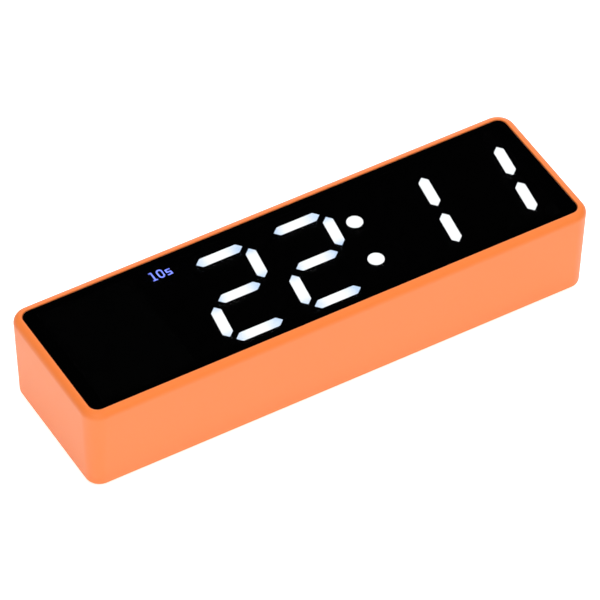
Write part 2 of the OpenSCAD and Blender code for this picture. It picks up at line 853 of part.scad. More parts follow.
module battery_cell() {
    color("#b9bcc2") translate([cell_left, cell_low, cell_z]) {
        rim = cell_t / 2;
        length = cell_right - cell_left;
        slab([0, rim, 0], [length, cell_w - 2 * rim, cell_t]);
        for (y = [rim, cell_w - rim])
            translate([0, y, rim]) rotate([0, 90, 0]) cylinder(h = length, r = rim);
    }
}

module battery_board() {
    edge = cell_board_edge;
    color("#1d5c3a") slab([cell_right + seat, cell_low + edge, cell_z + edge / 2],
        [cell_board_t, cell_w - 2 * edge, cell_t - edge]);
}

module battery_leads() {
    start_x = cell_right + seat + cell_board_t;
    end_x = socket_x - socket_size[0] / 2 - plug_out;
    for (side = [-1, 1])
        color(side < 0 ? "black" : "red") lead([
            [start_x, socket_y + side * lead_spread - lead_reach, cell_z + cell_t / 2],
            [start_x + lead_reach, socket_y + side * lead_spread - lead_reach, cell_z + cell_t / 2],
            [end_x - lead_reach, socket_y + side * lead_pitch, board_z - plug_drop],
            [end_x, socket_y + side * lead_pitch, board_z - plug_drop]], lead_r, [0, 0, 1]);
}

module battery_plug() {
    color("#f2efe6") slab([socket_x - socket_size[0] / 2 - plug_out, socket_y - plug_size[1] / 2,
        board_z - plug_drop - plug_size[2] / 2], plug_size);
}

module battery_socket() {
    color("#f2efe6") difference() {
        slab([socket_x - socket_size[0] / 2, socket_y - socket_size[1] / 2, board_z - socket_size[2]],
            socket_size);
        slab([socket_x - socket_size[0] / 2 - cut, socket_y - plug_size[1] / 2 - seat,
            board_z - plug_drop - plug_size[2] / 2 - seat],
            [plug_size[0] - plug_out + cut + seat, plug_size[1] + 2 * seat, plug_size[2] + 2 * seat]);
    }
}

module battery_pad() {
    inset = cell_pad_inset;
    color("#3a3a3a") slab([cell_left + inset, cell_low + cell_t / 2 + seat, floor_z],
        [cell_right - cell_left - 2 * inset, cell_w - cell_t - 2 * seat, cell_pad_t]);
}

// Speaker, firing through the grille in the back

module at_speaker(z) {
    translate([speaker_x, speaker_y, z]) children();
}

module speaker_gasket() {
    color("#303030") at_speaker(floor_z) difference() {
        cylinder(h = gasket_t, d = speaker_d);
        translate([0, 0, -cut]) cylinder(h = gasket_t + 2 * cut, d = speaker_d - 2 * gasket_w);
    }
}

module speaker_basket() {
    body_d = speaker_d - 2 * gasket_w;
    color("#8f9296") at_speaker(floor_z + gasket_t) difference() {
        union() {
            cylinder(h = basket_lip, d = speaker_d);
            cylinder(h = basket_h, d = body_d);
        }
        translate([0, 0, -cut]) cylinder(h = cut + basket_h - basket_end, d = body_d - 2 * basket_wall);
        translate([0, 0, basket_h - cut]) cylinder(h = 2 * cut, d = speaker_d * 0.36);
    }
}

module speaker_magnet() {
    color("#5a5d61") at_speaker(floor_z + gasket_t + basket_h)
        cylinder(h = speaker_h - basket_h, d = speaker_d / 2);
}

// Dust cap, cone and surround, as one thin dished disc
module speaker_cone() {
    edge = speaker_d / 2 - cone_edge;
    roll = speaker_d / 2 - cone_roll;
    under = [[0, 1.5], [cone_neck, 0.5], [roll, 0], [edge, 1.2]];
    over = [for (i = [len(under) - 1:-1:0]) under[i] + [0, cone_t]];
    color("#1c1c1c") at_speaker(floor_z + gasket_t + cone_gap - cone_t) rotate_extrude()
        polygon(concat(under, over));
}

module speaker_leads() {
    from_x = speaker_x + speaker_d * 0.3;
    from_y = speaker_y + speaker_d * 0.18;
    to_x = speaker_x + speaker_d / 2 + 2;
    to_y = speaker_y + 2;
    for (side = [-1, 1])
        color(side < 0 ? "black" : "red") lead([
            [from_x + side * lead_pitch, from_y, floor_z + gasket_t + speaker_h / 2],
            [from_x + side * lead_pitch, from_y, speaker_top + 2],
            [to_x + side * lead_pitch, to_y, speaker_top],
            [to_x + side * lead_pitch, to_y, board_z]], speaker_lead_r, [0, 1, 0]);
}

// Magnets, screws, pads and label

module magnets() {
    color("#c8ccd0") {
        both_ways() translate([end_magnet_x, 0, floor_z]) linear_extrude(magnet_t)
            square(end_magnet, center = true);
        both_ways() translate([side_magnet_x, side_magnet_y, floor_z]) linear_extrude(magnet_t)
            square(side_magnet, center = true);
    }
}

module case_screws() {
    color("#606468") four_ways() translate([boss_x, boss_y, seat_z]) {
        translate([0, 0, -head_h]) difference() {
            cylinder(h = head_h, d = screw_head_d);
            for (turn = [0, 90]) rotate(turn) cross_slot([cross_l, cross_w, cross_deep]);
        }
        cylinder(h = screw_l, d = screw_d);
    }
}

module rubber_pads() {
    color("#2c2c2c") for (side = [-1, 1]) for (end = [-1, 1])
        translate([end * pad_x, side * pad_y, back_z - pad_proud])
            linear_extrude(pad_proud + pad_sunk) stadium(pad_l, pad_w);
}

module rating_label() {
    color("#d8d8d8") translate([label_x, 0, back_z - label_t]) linear_extrude(label_t)
        rounded_rect(label_size[0] / 2, label_size[1] / 2, 1);
}

housing();
lens();
lens_adhesive();
front_frame();
display_reflector();
lit_segments();
unlit_segments();
colon_dots();
seconds_mark();
white_leds();
blue_led();
main_board();
board_screws();
microcontroller();
led_driver();
charger_chip();
audio_amplifier();
clock_crystal();
capacitors();
resistors();
power_inductor();
usb_shell();
usb_tongue();
switch_bodies();
mode_button();
set_button();
down_button();
up_button();
start_button();
mode_plunger();
set_plunger();
down_plunger();
up_plunger();
start_plunger();
power_switch_case();
power_switch_lever();
power_knob();
charge_light_pipe();
charge_led();
battery_cell();
battery_board();
battery_leads();
battery_plug();
battery_socket();
battery_pad();
speaker_basket();
speaker_magnet();
speaker_cone();
speaker_gasket();
speaker_leads();
magnets();
case_screws();
rubber_pads();
rating_label();
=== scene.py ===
import math
from contextlib import contextmanager

import bmesh
import bpy
from mathutils import Euler, Matrix, Vector


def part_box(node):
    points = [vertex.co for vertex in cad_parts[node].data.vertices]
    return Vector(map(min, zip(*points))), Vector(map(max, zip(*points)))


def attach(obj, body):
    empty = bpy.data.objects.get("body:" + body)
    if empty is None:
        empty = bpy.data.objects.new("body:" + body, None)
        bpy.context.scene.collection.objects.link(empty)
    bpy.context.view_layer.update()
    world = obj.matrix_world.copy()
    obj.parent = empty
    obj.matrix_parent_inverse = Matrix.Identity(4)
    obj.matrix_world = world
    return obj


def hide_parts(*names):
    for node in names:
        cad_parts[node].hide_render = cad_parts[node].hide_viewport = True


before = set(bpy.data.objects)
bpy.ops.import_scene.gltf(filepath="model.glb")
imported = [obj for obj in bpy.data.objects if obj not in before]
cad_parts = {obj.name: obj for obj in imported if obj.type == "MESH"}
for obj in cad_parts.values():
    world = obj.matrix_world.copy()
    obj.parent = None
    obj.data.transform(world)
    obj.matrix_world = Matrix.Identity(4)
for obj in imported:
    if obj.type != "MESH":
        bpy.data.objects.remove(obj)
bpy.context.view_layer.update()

bl_info = {
    "name": "Desk Alarm Clock",
    "version": (1, 0, 0),
    "blender": (4, 5, 0),
    "location": "View3D > Sidebar > Alarm Clock",
    "description": "Builds the looks of a long, low digital alarm clock around its CAD frame",
    "category": "Object",
}

MM = 0.001
CASE = "clock_case"
HOUSING_LOW, HOUSING_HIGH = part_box("housing")
KEYS = ("mode", "set", "down", "up", "start")

# Sizes that the boxes of the frame's nodes don't give
SINK = 0.3 * MM  # how far what stands on the floor reaches into it
FOOT_RADIUS, FOOT_HEIGHT = 3.8 * MM, 4.1 * MM
RING_OUTER, RING_INNER, RING_HEIGHT = 15.2 * MM, 14.2 * MM, 2.5 * MM
POCKET_WALL, POCKET_HEIGHT = 0.8 * MM, 1.8 * MM
END_POCKET, END_POCKET_X = (7.8 * MM, 19.8 * MM), 67.3 * MM
SIDE_POCKET, SIDE_POCKET_X, SIDE_POCKET_Y = (21.8 * MM, 9.8 * MM), 17 * MM, 13.6 * MM
GRILLE_RADIUS, GRILLE_PITCH, GRILLE_ROWS = 0.8 * MM, 3.2 * MM, 4
SOCKET_RECESS, SOCKET_HOLE = (12.34 * MM, 6.6 * MM), (9.44 * MM, 3.7 * MM)
SWITCH_Y, SWITCH_RECESS, SWITCH_SLOT = 6.5 * MM, (9.2 * MM, 4.6 * MM), (5.9 * MM, 2.5 * MM)
LIGHT_RADIUS = 1.02 * MM
SCREW_HEAD, SCREW_HOLE, COUNTERBORE = 2.3 * MM, 1.45 * MM, 2.6 * MM  # radii
CROSS_REACH, CROSS_HALF_WIDTH = 1.47 * MM, 0.35 * MM
PAD, PAD_GAP, PAD_RECESS = (14 * MM, 5 * MM), 0.02 * MM, 0.5 * MM
LENS_CORNER, LENS_EDGE = 2.5 * MM, 0.1 * MM
FIRST_DIGIT_X, MIDDLE_ROW_Y, SLANT = -19.05 * MM, -0.35 * MM, math.radians(8.3)
LOOK_AT = Vector((-0.85 * MM, -0.3 * MM, 13.63 * MM))


# ---------------------------------------------------------------- settings


def length(name, description, millimetres):
    return bpy.props.FloatProperty(
        name=name, description=description, default=millimetres * MM, subtype="DISTANCE", min=0.0,
        precision=5,
    )


def angle(name, description, degrees):
    return bpy.props.FloatProperty(
        name=name, description=description, subtype="ANGLE", default=math.radians(degrees)
    )


def power(name, description, watts):
    return bpy.props.FloatProperty(
        name=name, description=description, subtype="POWER", default=watts, min=0.0
    )


def colour(name, description, value):
    return bpy.props.FloatVectorProperty(
        name=name, description=description, subtype="COLOR", default=value, size=3, min=0.0, max=1.0
    )


class ClockHousingSettings(bpy.types.PropertyGroup):
    corner: length("Corner Radius", "Corner radius seen from the front", 5.0)
    front_edge: length("Front Edge", "Rounding of the front edge", 2.0)
    back_edge: length("Back Edge", "Rounding of the back edge", 0.8)
    wall: length("Wall", "Thickness of the side walls", 2.4)
    floor: length("Back Thickness", "Thickness of the back", 2.2)
    draft: angle("Draft", "Draft of the side walls", 2.2)
    soft_edge: length("Edge Break", "Width of the small bevel on cut edges", 0.16)
    arc_steps: bpy.props.IntProperty(
        name="Arc Steps", description="Faces round a quarter of a corner", default=14, min=4, max=32
    )


class ClockControlSettings(bpy.types.PropertyGroup):
    key_edge: length("Key Edge", "Rounding of a button's face", 0.45)
    flange_edge: length("Flange Edge", "How far a button's flange reaches past it", 1.0)
    flange: length("Flange", "Thickness of a button's flange", 1.15)
    engraving: length("Engraving", "Depth of the signs on the buttons", 0.3)
    key_gap: length("Key Gap", "Gap between a button and its hole", 0.15)
    strip_depth: length("Strip Depth", "Depth of the recess around the buttons", 0.65)
    strip_edge: length("Strip Edge", "How far that recess reaches past the buttons", 1.4)
    end_recess: length("End Recess", "Depth of the recesses at the right-hand end", 0.8)


class ClockColourSettings(bpy.types.PropertyGroup):
    housing: colour("Housing", "Colour of the housing", (0.97, 0.24, 0.055))
    button: colour("Buttons", "Colour of the buttons", (0.95, 0.205, 0.04))
    smoke: colour("Smoked Window", "Share of light that the window lets through", (0.17, 0.17, 0.17))
    lit_core: colour("Lit Bar", "Colour of a lit bar at its middle", (0.97, 0.99, 1.0))
    lit_tip: colour("Bar Tips", "Colour of a lit bar at its tips", (0.5, 0.68, 0.94))
    mark: colour("Seconds Mark", "Colour of the lit seconds mark", (0.19, 0.25, 1.0))
    floor: colour("Floor", "Colour of the floor", (0.9, 0.9, 0.9))


class ClockStudioSettings(bpy.types.PropertyGroup):
    azimuth: angle("Azimuth", "Direction of the camera round the clock", -30.60)
    elevation: angle("Elevation", "Height of the camera over the clock", 45.83)
    roll: angle("Roll", "Turn of the camera about its own axis", 0.485)
    distance: length("Distance", "From the camera to the clock", 1498.8)
    focal: bpy.props.FloatProperty(
        name="Focal Length", description="Of the camera's lens", subtype="DISTANCE_CAMERA", default=345.6
    )
    key_light: power("Key Light", "Large soft light from the camera's side", 9.0)
    top_light: power("Top Light", "Large soft light overhead", 22.0)
    back_light: power("Back Light", "Wide low light behind the clock", 5.0)


def housing_settings():
    return bpy.context.scene.clock_housing


def control_settings():
    return bpy.context.scene.clock_controls


def colours():
    return bpy.context.scene.clock_colours


# ---------------------------------------------------------------- modelling by hand


def deselect():
    """Object mode with nothing selected, which is where every step starts."""
    if bpy.context.object and bpy.context.object.mode != "OBJECT":
        bpy.ops.object.mode_set(mode="OBJECT")
    bpy.ops.object.select_all(action="DESELECT")


def activate(ob):
    deselect()
    ob.select_set(True)
    bpy.context.view_layer.objects.active = ob


def settle(ob):
    """Puts the object's place, turn and scale into its mesh."""
    activate(ob)
    bpy.ops.object.transform_apply(location=True, rotation=True, scale=True)
    return ob


def called(name):
    ob = bpy.context.object
    ob.name = name
    ob.data.name = name
    return settle(ob)


@contextmanager
def editing(ob, mode="FACE"):
    """Edit mode on one object, with nothing in it selected. Gives its bmesh."""
    activate(ob)
    bpy.ops.object.mode_set(mode="EDIT")
    bpy.ops.mesh.select_mode(type=mode)
    bpy.ops.mesh.select_all(action="DESELECT")
    yield bmesh.from_edit_mesh(ob.data)
    bpy.ops.object.mode_set(mode="OBJECT")


def pick(ob, elements, test):
    """Selects the faces, edges or vertices for which test is true."""
    for element in elements:
        element.select_set(bool(test(element)))
    bmesh.update_edit_mesh(ob.data)


def middle(edge):
    return (edge.verts[0].co + edge.verts[1].co) / 2


def runs_along(edge, axis):
    way = edge.verts[1].co - edge.verts[0].co
    return abs(way[axis]) > 0.99 * way.length


def block(name, low, high):
    low, high = Vector(low), Vector(high)
    deselect()
    bpy.ops.mesh.primitive_cube_add(size=1, location=(low + high) / 2, scale=high - low)
    return called(name)


def rod(name, centre, axis, radius, depth, sides=32):
    turn = {"X": (0, math.pi / 2, 0), "Y": (math.pi / 2, 0, 0), "Z": (0, 0, 0)}[axis]
    deselect()
    bpy.ops.mesh.primitive_cylinder_add(
        vertices=sides, radius=radius, depth=depth, location=centre, rotation=turn
    )
    return called(name)


def rounded_block(name, low, high, axis, radius, steps=8):
    """A block whose four edges along an axis are rounded."""
    ob = block(name, low, high)
    with editing(ob, "EDGE") as mesh:
        pick(ob, mesh.edges, lambda e: runs_along(e, axis))
        bpy.ops.mesh.bevel(
            offset=radius, segments=steps, profile=0.5, affect="EDGES", clamp_overlap=True
        )
    return ob


def pill(name, low, high, axis, steps=10):
    """A block with half-round ends, seen along an axis."""
    flat = [high[i] - low[i] for i in range(3) if i != axis]
    ob = rounded_block(name, low, high, axis, min(flat) / 2 * 0.999, steps)
    with editing(ob):
        weld(0.012 * MM)
    return ob


def bevel_picked(width, steps):
    bpy.ops.mesh.bevel(offset=width, segments=steps, profile=0.5, affect="EDGES", clamp_overlap=False)


def soften_rim(ob, axis, place, width, steps=3):
    """Rounds the edges that lie in the plane at a place on an axis."""
    with editing(ob, "EDGE") as mesh:
        pick(ob, mesh.edges, lambda e: all(abs(v.co[axis] - place) < 1e-6 for v in e.verts))
        bevel_picked(width, steps)


def facing(axis, way):
    """A test for faces that look one way along an axis."""
    return lambda face: way * face.normal[axis] > 0.9


def press(ob, test, margin, move):
    """Insets the faces for which test is true and moves what is left, drawing walls after it."""
    with editing(ob) as mesh:
        pick(ob, mesh.faces, test)
        bpy.ops.mesh.inset(thickness=margin, depth=0)
        bpy.ops.mesh.extrude_region_move(TRANSFORM_OT_translate={"value": move})


def weld(distance):
    """Merges the vertices of the mesh being edited that lie on each other."""
    bpy.ops.mesh.select_all(action="SELECT")
    bpy.ops.mesh.remove_doubles(threshold=distance)


def open_outline(name, points):
    """A line of edges through the points, to be spun or pulled."""
    deselect()
    bpy.ops.mesh.primitive_circle_add(vertices=len(points), radius=1, fill_type="NOTHING")
    ob = called(name)
    with editing(ob, "EDGE") as mesh:
        mesh.verts.ensure_lookup_table()
        for vertex, point in zip(mesh.verts, points):
            vertex.co = point
        ends = {mesh.verts[0], mesh.verts[len(points) - 1]}
        pick(ob, mesh.edges, lambda e: set(e.verts) == ends)
        bpy.ops.mesh.delete(type="EDGE")
    return ob


def turned(name, profile, centre, steps=32):
    """A solid of revolution about an upright axis, its section given as (radius, height)."""
    ob = open_outline(name, [(centre[0] + out, centre[1], height) for out, height in profile])
    with editing(ob, "EDGE"):
        bpy.ops.mesh.select_all(action="SELECT")
        bpy.ops.mesh.spin(
            steps=steps, angle=2 * math.pi, center=(*centre, 0), axis=(0, 0, 1), dupli=False
        )
        weld(1e-6)
        bpy.ops.mesh.normals_make_consistent(inside=False)
    return ob


def joined(parts):
    deselect()
    for part in parts:
        part.select_set(True)
    bpy.context.view_layer.objects.active = parts[0]
    bpy.ops.object.join()
    return parts[0]


def apply(ob, modifier):
    activate(ob)
    bpy.ops.object.modifier_apply(modifier=modifier.name)


def combine(ob, tool, operation):
    """Adds, cuts or keeps with a second solid, and removes that solid."""
    modifier = ob.modifiers.new("Combine", "BOOLEAN")
    modifier.operation = operation
    modifier.solver = "EXACT"
    modifier.object = tool
    apply(ob, modifier)
    bpy.data.objects.remove(tool)


def finish_edges(ob, width=0, angle=30):
    """Breaks the sharp edges and shades the piece smooth, flats staying flat."""
    if width:
        modifier = ob.modifiers.new("Edge Break", "BEVEL")
        modifier.width = width
        modifier.segments = 2
        modifier.limit_method = "ANGLE"
        modifier.angle_limit = math.radians(angle)
        apply(ob, modifier)
    activate(ob)
    bpy.ops.object.shade_smooth_by_angle(angle=math.radians(angle))
    modifier = ob.modifiers.new("Flats", "WEIGHTED_NORMAL")
    modifier.keep_sharp = True
    apply(ob, modifier)


def stands_for(ob, node, body, slot):
    """The piece takes the place of a CAD node, on its body and with its finish."""
    ob.data.materials.clear()
    ob.data.materials.append(finish(slot))
    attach(ob, body)
    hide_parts(node)
    return ob


# ---------------------------------------------------------------- shader groups


def node_group(name, inputs, outputs):
    """A new shader group with its sockets, and its two end nodes."""
    tree = bpy.data.node_groups.new(name, "ShaderNodeTree")
    for label, kind, value in inputs:
        socket = tree.interface.new_socket(label, in_out="INPUT", socket_type=kind)
        socket.default_value = value
    for label, kind in outputs:
        tree.interface.new_socket(label, in_out="OUTPUT", socket_type=kind)
    return tree, tree.nodes.new("NodeGroupInput"), tree.nodes.new("NodeGroupOutput")


def add(tree, kind, links=None, **values):
    """A node with some of its properties set and its sockets filled or linked."""
    node = tree.nodes.new(kind)
    for key, value in values.items():
        setattr(node, key, value)
    for socket, source in (links or {}).items():
        if isinstance(source, bpy.types.NodeSocket):
            tree.links.new(source, node.inputs[socket])
        else:
            node.inputs[socket].default_value = source
    return node


def calc(tree, operation, first, second=None, third=None, clamp=False):
    """A Math node's result, from sockets or numbers."""
    node = add(tree, "ShaderNodeMath", operation=operation, use_clamp=clamp)
    for i, source in enumerate((first, second, third)):
        if isinstance(source, bpy.types.NodeSocket):
            tree.links.new(source, node.inputs[i])
        elif source is not None:
            node.inputs[i].default_value = source
    return node.outputs[0]


def ramp_of(tree, value, low, high, to_low=0.0, to_high=1.0):
    """A value taken smoothly from one range to another."""
    sockets = {"Value": value, "From Min": low, "From Max": high, "To Min": to_low, "To Max": to_high}
    return add(tree, "ShaderNodeMapRange", sockets, interpolation_type="SMOOTHSTEP").outputs["Result"]


def noise_of(tree, vector, scale, detail=3.0, rough=0.5):
    sockets = {"Vector": vector, "Scale": scale, "Detail": detail, "Roughness": rough}
    return add(tree, "ShaderNodeTexNoise", sockets).outputs["Fac"]


def mixed(tree, factor, first, second):
    node = add(tree, "ShaderNodeMix", data_type="RGBA")
    for i, source in ((0, factor), (6, first), (7, second)):
        if isinstance(source, bpy.types.NodeSocket):
            tree.links.new(source, node.inputs[i])
        else:
            node.inputs[i].default_value = source
    return node.outputs[2]


def rgba(value):
    return (*value[:3], 1.0)


SURFACE_OUTPUTS = [
    ("Colour", "NodeSocketColor"),
    ("Roughness", "NodeSocketFloat"),
    ("Normal", "NodeSocketVector"),
]


def tinted(tree, inner, outer, shade):
    """Darkens or lightens the group's colour by a factor and puts it out."""
    tint = add(tree, "ShaderNodeVectorMath", operation="SCALE")
    tree.links.new(inner.outputs["Colour"], tint.inputs[0])
    tree.links.new(shade, tint.inputs["Scale"])
    tree.links.new(tint.outputs[0], outer.inputs["Colour"])


def relief(tree, inner, outer, height, depth):
    """Puts out a normal that stands for fine relief of the named depth."""
    bump = add(tree, "ShaderNodeBump", {"Height": height, "Distance": 0.02 * MM})
    tree.links.new(inner.outputs[depth], bump.inputs["Strength"])
    tree.links.new(bump.outputs["Normal"], outer.inputs["Normal"])


def moulded_group():
    """Spark-eroded mould texture: fine grain, faint flow mottle and handling sheen."""
    tree, inner, outer = node_group(
        "Moulded Surface",
        [
            ("Colour", "NodeSocketColor", (0.8, 0.8, 0.8, 1)),
            ("Mottle", "NodeSocketFloat", 0.04),
            ("Roughness", "NodeSocketFloat", 0.5),
            ("Sheen Spread", "NodeSocketFloat", 0.06),
            ("Grain Scale", "NodeSocketFloat", 2500.0),
            ("Grain Depth", "NodeSocketFloat", 0.1),
        ],
        SURFACE_OUTPUTS,
    )
    place = tree.nodes.new("ShaderNodeTexCoord").outputs["Object"]
    broad = noise_of(tree, place, 28.0, 2.0)
    shade = calc(tree, "MULTIPLY_ADD", broad, inner.outputs["Mottle"], 1.0)
    shade = calc(tree, "MULTIPLY_ADD", inner.outputs["Mottle"], -0.5, shade)
    tinted(tree, inner, outer, shade)
    patches = calc(tree, "SUBTRACT", noise_of(tree, place, 90.0, 4.0, 0.6), 0.5)
    spread = inner.outputs["Sheen Spread"]
    rough = calc(tree, "MULTIPLY_ADD", patches, spread, inner.outputs["Roughness"])
    tree.links.new(rough, outer.inputs["Roughness"])
    grain = noise_of(tree, place, inner.outputs["Grain Scale"], 2.0, 0.6)
    relief(tree, inner, outer, grain, "Grain Depth")
    return tree


def metal_group():
    """Drawn or plated metal: streaks along one direction, with dull patches."""
    tree, inner, outer = node_group(
        "Worked Metal",
        [
            ("Colour", "NodeSocketColor", (0.6, 0.6, 0.6, 1)),
            ("Roughness", "NodeSocketFloat", 0.3),
            ("Streak Scale", "NodeSocketVector", (300.0, 300.0, 4000.0)),
            ("Streak Depth", "NodeSocketFloat", 0.08),
        ],
        SURFACE_OUTPUTS,
    )
    place = tree.nodes.new("ShaderNodeTexCoord").outputs["Object"]
    stretched = add(tree, "ShaderNodeVectorMath", operation="MULTIPLY")
    tree.links.new(place, stretched.inputs[0])
    tree.links.new(inner.outputs["Streak Scale"], stretched.inputs[1])
    streaks = noise_of(tree, stretched.outputs[0], 1.0, 3.0, 0.6)
    dull = noise_of(tree, place, 150.0, 3.0)
    tinted(tree, inner, outer, ramp_of(tree, dull, 0.3, 0.7, 0.82, 1.05))
    uneven = calc(tree, "SUBTRACT", streaks, 0.5)
    rough = calc(tree, "MULTIPLY_ADD", uneven, 0.25, inner.outputs["Roughness"])
    tree.links.new(rough, outer.inputs["Roughness"])
    relief(tree, inner, outer, streaks, "Streak Depth")
    return tree


def bar_glow_group():
    """How far a point is towards a bar's tips, 0 at its middle, for slanted bars in rows."""
    tree, inner, outer = node_group(
        "Bar Glow",
        [
            ("First Digit", "NodeSocketFloat", 0.0),
            ("Digit Pitch", "NodeSocketFloat", 0.0232),
            ("Middle Row", "NodeSocketFloat", 0.0),
            ("Row Pitch", "NodeSocketFloat", 0.01405),
            ("Slant", "NodeSocketFloat", 0.1459),
            ("Fade Out", "NodeSocketFloat", 0.015),
        ],
        [("Tips", "NodeSocketFloat")],
    )
    here = tree.nodes.new("ShaderNodeTexCoord").outputs["Object"]
    place = add(tree, "ShaderNodeSeparateXYZ", {"Vector": here})
    rise = calc(tree, "SUBTRACT", place.outputs["Y"], inner.outputs["Middle Row"])
    lean = calc(tree, "MULTIPLY", rise, inner.outputs["Slant"])
    upright = calc(tree, "SUBTRACT", place.outputs["X"], lean)
    across = calc(tree, "SUBTRACT", upright, inner.outputs["First Digit"])
    half = calc(tree, "MULTIPLY", inner.outputs["Digit Pitch"], 0.5)
    from_digit = calc(tree, "WRAP", across, half, calc(tree, "MULTIPLY", half, -1.0))
    half_row = calc(tree, "MULTIPLY", inner.outputs["Row Pitch"], 0.5)
    from_row = calc(tree, "WRAP", rise, half_row, calc(tree, "MULTIPLY", half_row, -1.0))
    from_row = calc(tree, "ABSOLUTE", from_row)
    near_row = ramp_of(tree, from_row, 1.4 * MM, 4.6 * MM, 1.0, 0.0)
    right = ramp_of(tree, from_digit, 1.2 * MM, 6.2 * MM)
    left = ramp_of(tree, from_digit, -6.4 * MM, -3.2 * MM, 0.85, 0.0)
    ends = calc(tree, "MULTIPLY", calc(tree, "ADD", right, left), near_row)
    fade = ramp_of(tree, place.outputs["X"], inner.outputs["Fade Out"], 20 * MM, 1.0, 0.15)
    tree.links.new(calc(tree, "MULTIPLY", ends, fade, clamp=True), outer.inputs["Tips"])
    return tree


def group(name):
    makers = {
        "Moulded Surface": moulded_group,
        "Worked Metal": metal_group,
        "Bar Glow": bar_glow_group,
    }
    return bpy.data.node_groups.get(name) or makers[name]()


# ---------------------------------------------------------------- finishes


def new_material(name):
    material = bpy.data.materials.new(name)
    material.use_nodes = True
    tree = material.node_tree
    return material, tree, tree.nodes["Principled BSDF"]


def placed_group(tree, name, **values):
    node = add(tree, "ShaderNodeGroup", node_tree=group(name))
    for label, value in values.items():
        node.inputs[label.replace("_", " ")].default_value = value
    return node


def wired(tree, source, shader):
    for socket, target in (("Colour", "Base Color"), ("Roughness", "Roughness"), ("Normal", "Normal")):
        tree.links.new(source.outputs[socket], shader.inputs[target])


def moulded(
    slot, value, rough=0.5, mottle=0.05, spread=0.08, scale=2500.0, depth=0.12, level=0.5, **sockets
):
    """A moulded plastic, rubber, resin or paper."""
    material, tree, shader = new_material(slot + "_finish")
    surface = placed_group(
        tree, "Moulded Surface", Colour=rgba(value), Mottle=mottle, Roughness=rough,
        Sheen_Spread=spread, Grain_Scale=scale, Grain_Depth=depth,
    )
    wired(tree, surface, shader)
    shader.inputs["Specular IOR Level"].default_value = level
    for socket, amount in sockets.items():
        shader.inputs[socket.replace("_", " ")].default_value = amount
    return material


def metal(slot, value, rough=0.3, streaks=(300.0, 300.0, 4000.0), depth=0.08):
    """A plated, drawn or pressed metal."""
    material, tree, shader = new_material(slot + "_finish")
    surface = placed_group(
        tree, "Worked Metal", Colour=rgba(value), Roughness=rough,
        Streak_Scale=streaks, Streak_Depth=depth,
    )
    wired(tree, surface, shader)
    shader.inputs["Metallic"].default_value = 1.0
    return material


def smoked_window(slot):
    """Polished smoked acrylic: clear enough for the lit bars, black over everything else."""
    return moulded(
        slot, colours().smoke, 0.02, 0.02, 0.02, 400.0, 0.006, Transmission_Weight=1.0, IOR=1.49
    )


def lit_bars(slot):
    """Milky diffusers: white over the light, pale blue towards the tips of the bars."""
    material, tree, shader = new_material(slot + "_finish")
    place = tree.nodes.new("ShaderNodeTexCoord").outputs["Object"]
    tips = placed_group(
        tree, "Bar Glow", First_Digit=FIRST_DIGIT_X, Middle_Row=MIDDLE_ROW_Y, Slant=math.tan(SLANT)
    ).outputs["Tips"]
    patchy = ramp_of(tree, noise_of(tree, place, 420.0, 2.0), 0.3, 0.7, 0.7, 1.0)
    tips = calc(tree, "MULTIPLY", tips, patchy, clamp=True)
    glow = mixed(tree, tips, rgba(colours().lit_core), rgba(colours().lit_tip))
    tree.links.new(glow, shader.inputs["Emission Color"])
    shader.inputs["Emission Strength"].default_value = 6.6
    shader.inputs["Base Color"].default_value = (0.8, 0.8, 0.8, 1)
    shader.inputs["Roughness"].default_value = 0.6
    return material


def lit_mark(slot):
    """The small blue mark, a little uneven between its strokes."""
    material, tree, shader = new_material(slot + "_finish")
    place = tree.nodes.new("ShaderNodeTexCoord").outputs["Object"]
    uneven = ramp_of(tree, noise_of(tree, place, 700.0, 2.0), 0.3, 0.7)
    deep = [0.7 * c for c in colours().mark]
    glow = mixed(tree, uneven, rgba(deep), rgba(colours().mark))
    tree.links.new(glow, shader.inputs["Emission Color"])
    shader.inputs["Emission Strength"].default_value = 11.5
    shader.inputs["Base Color"].default_value = (0.1, 0.1, 0.4, 1)
    shader.inputs["Roughness"].default_value = 0.6
    return material


def circuit_board(slot):
    """Green solder mask over copper tracks that show as faint raised lines."""
    material, tree, shader = new_material(slot + "_finish")
    place = tree.nodes.new("ShaderNodeTexCoord").outputs["Object"]
    tracks = add(
        tree, "ShaderNodeTexBrick", {"Vector": place, "Scale": 160.0, "Mortar Size": 0.06, "Bias": -0.4},
        offset=0.37, squash=0.6,
    )
    pour = ramp_of(tree, noise_of(tree, place, 70.0, 1.0), 0.42, 0.5)
    raised = calc(tree, "MAXIMUM", tracks.outputs["Fac"], pour)
    mask = mixed(tree, raised, (0.006, 0.06, 0.022, 1), (0.02, 0.16, 0.05, 1))
    tree.links.new(mask, shader.inputs["Base Color"])
    bump = add(tree, "ShaderNodeBump", {"Height": raised, "Distance": 0.00004, "Strength": 0.5})
    tree.links.new(bump.outputs["Normal"], shader.inputs["Normal"])
    tree.links.new(ramp_of(tree, pour, 0, 1, 0.28, 0.4), shader.inputs["Roughness"])
    return material


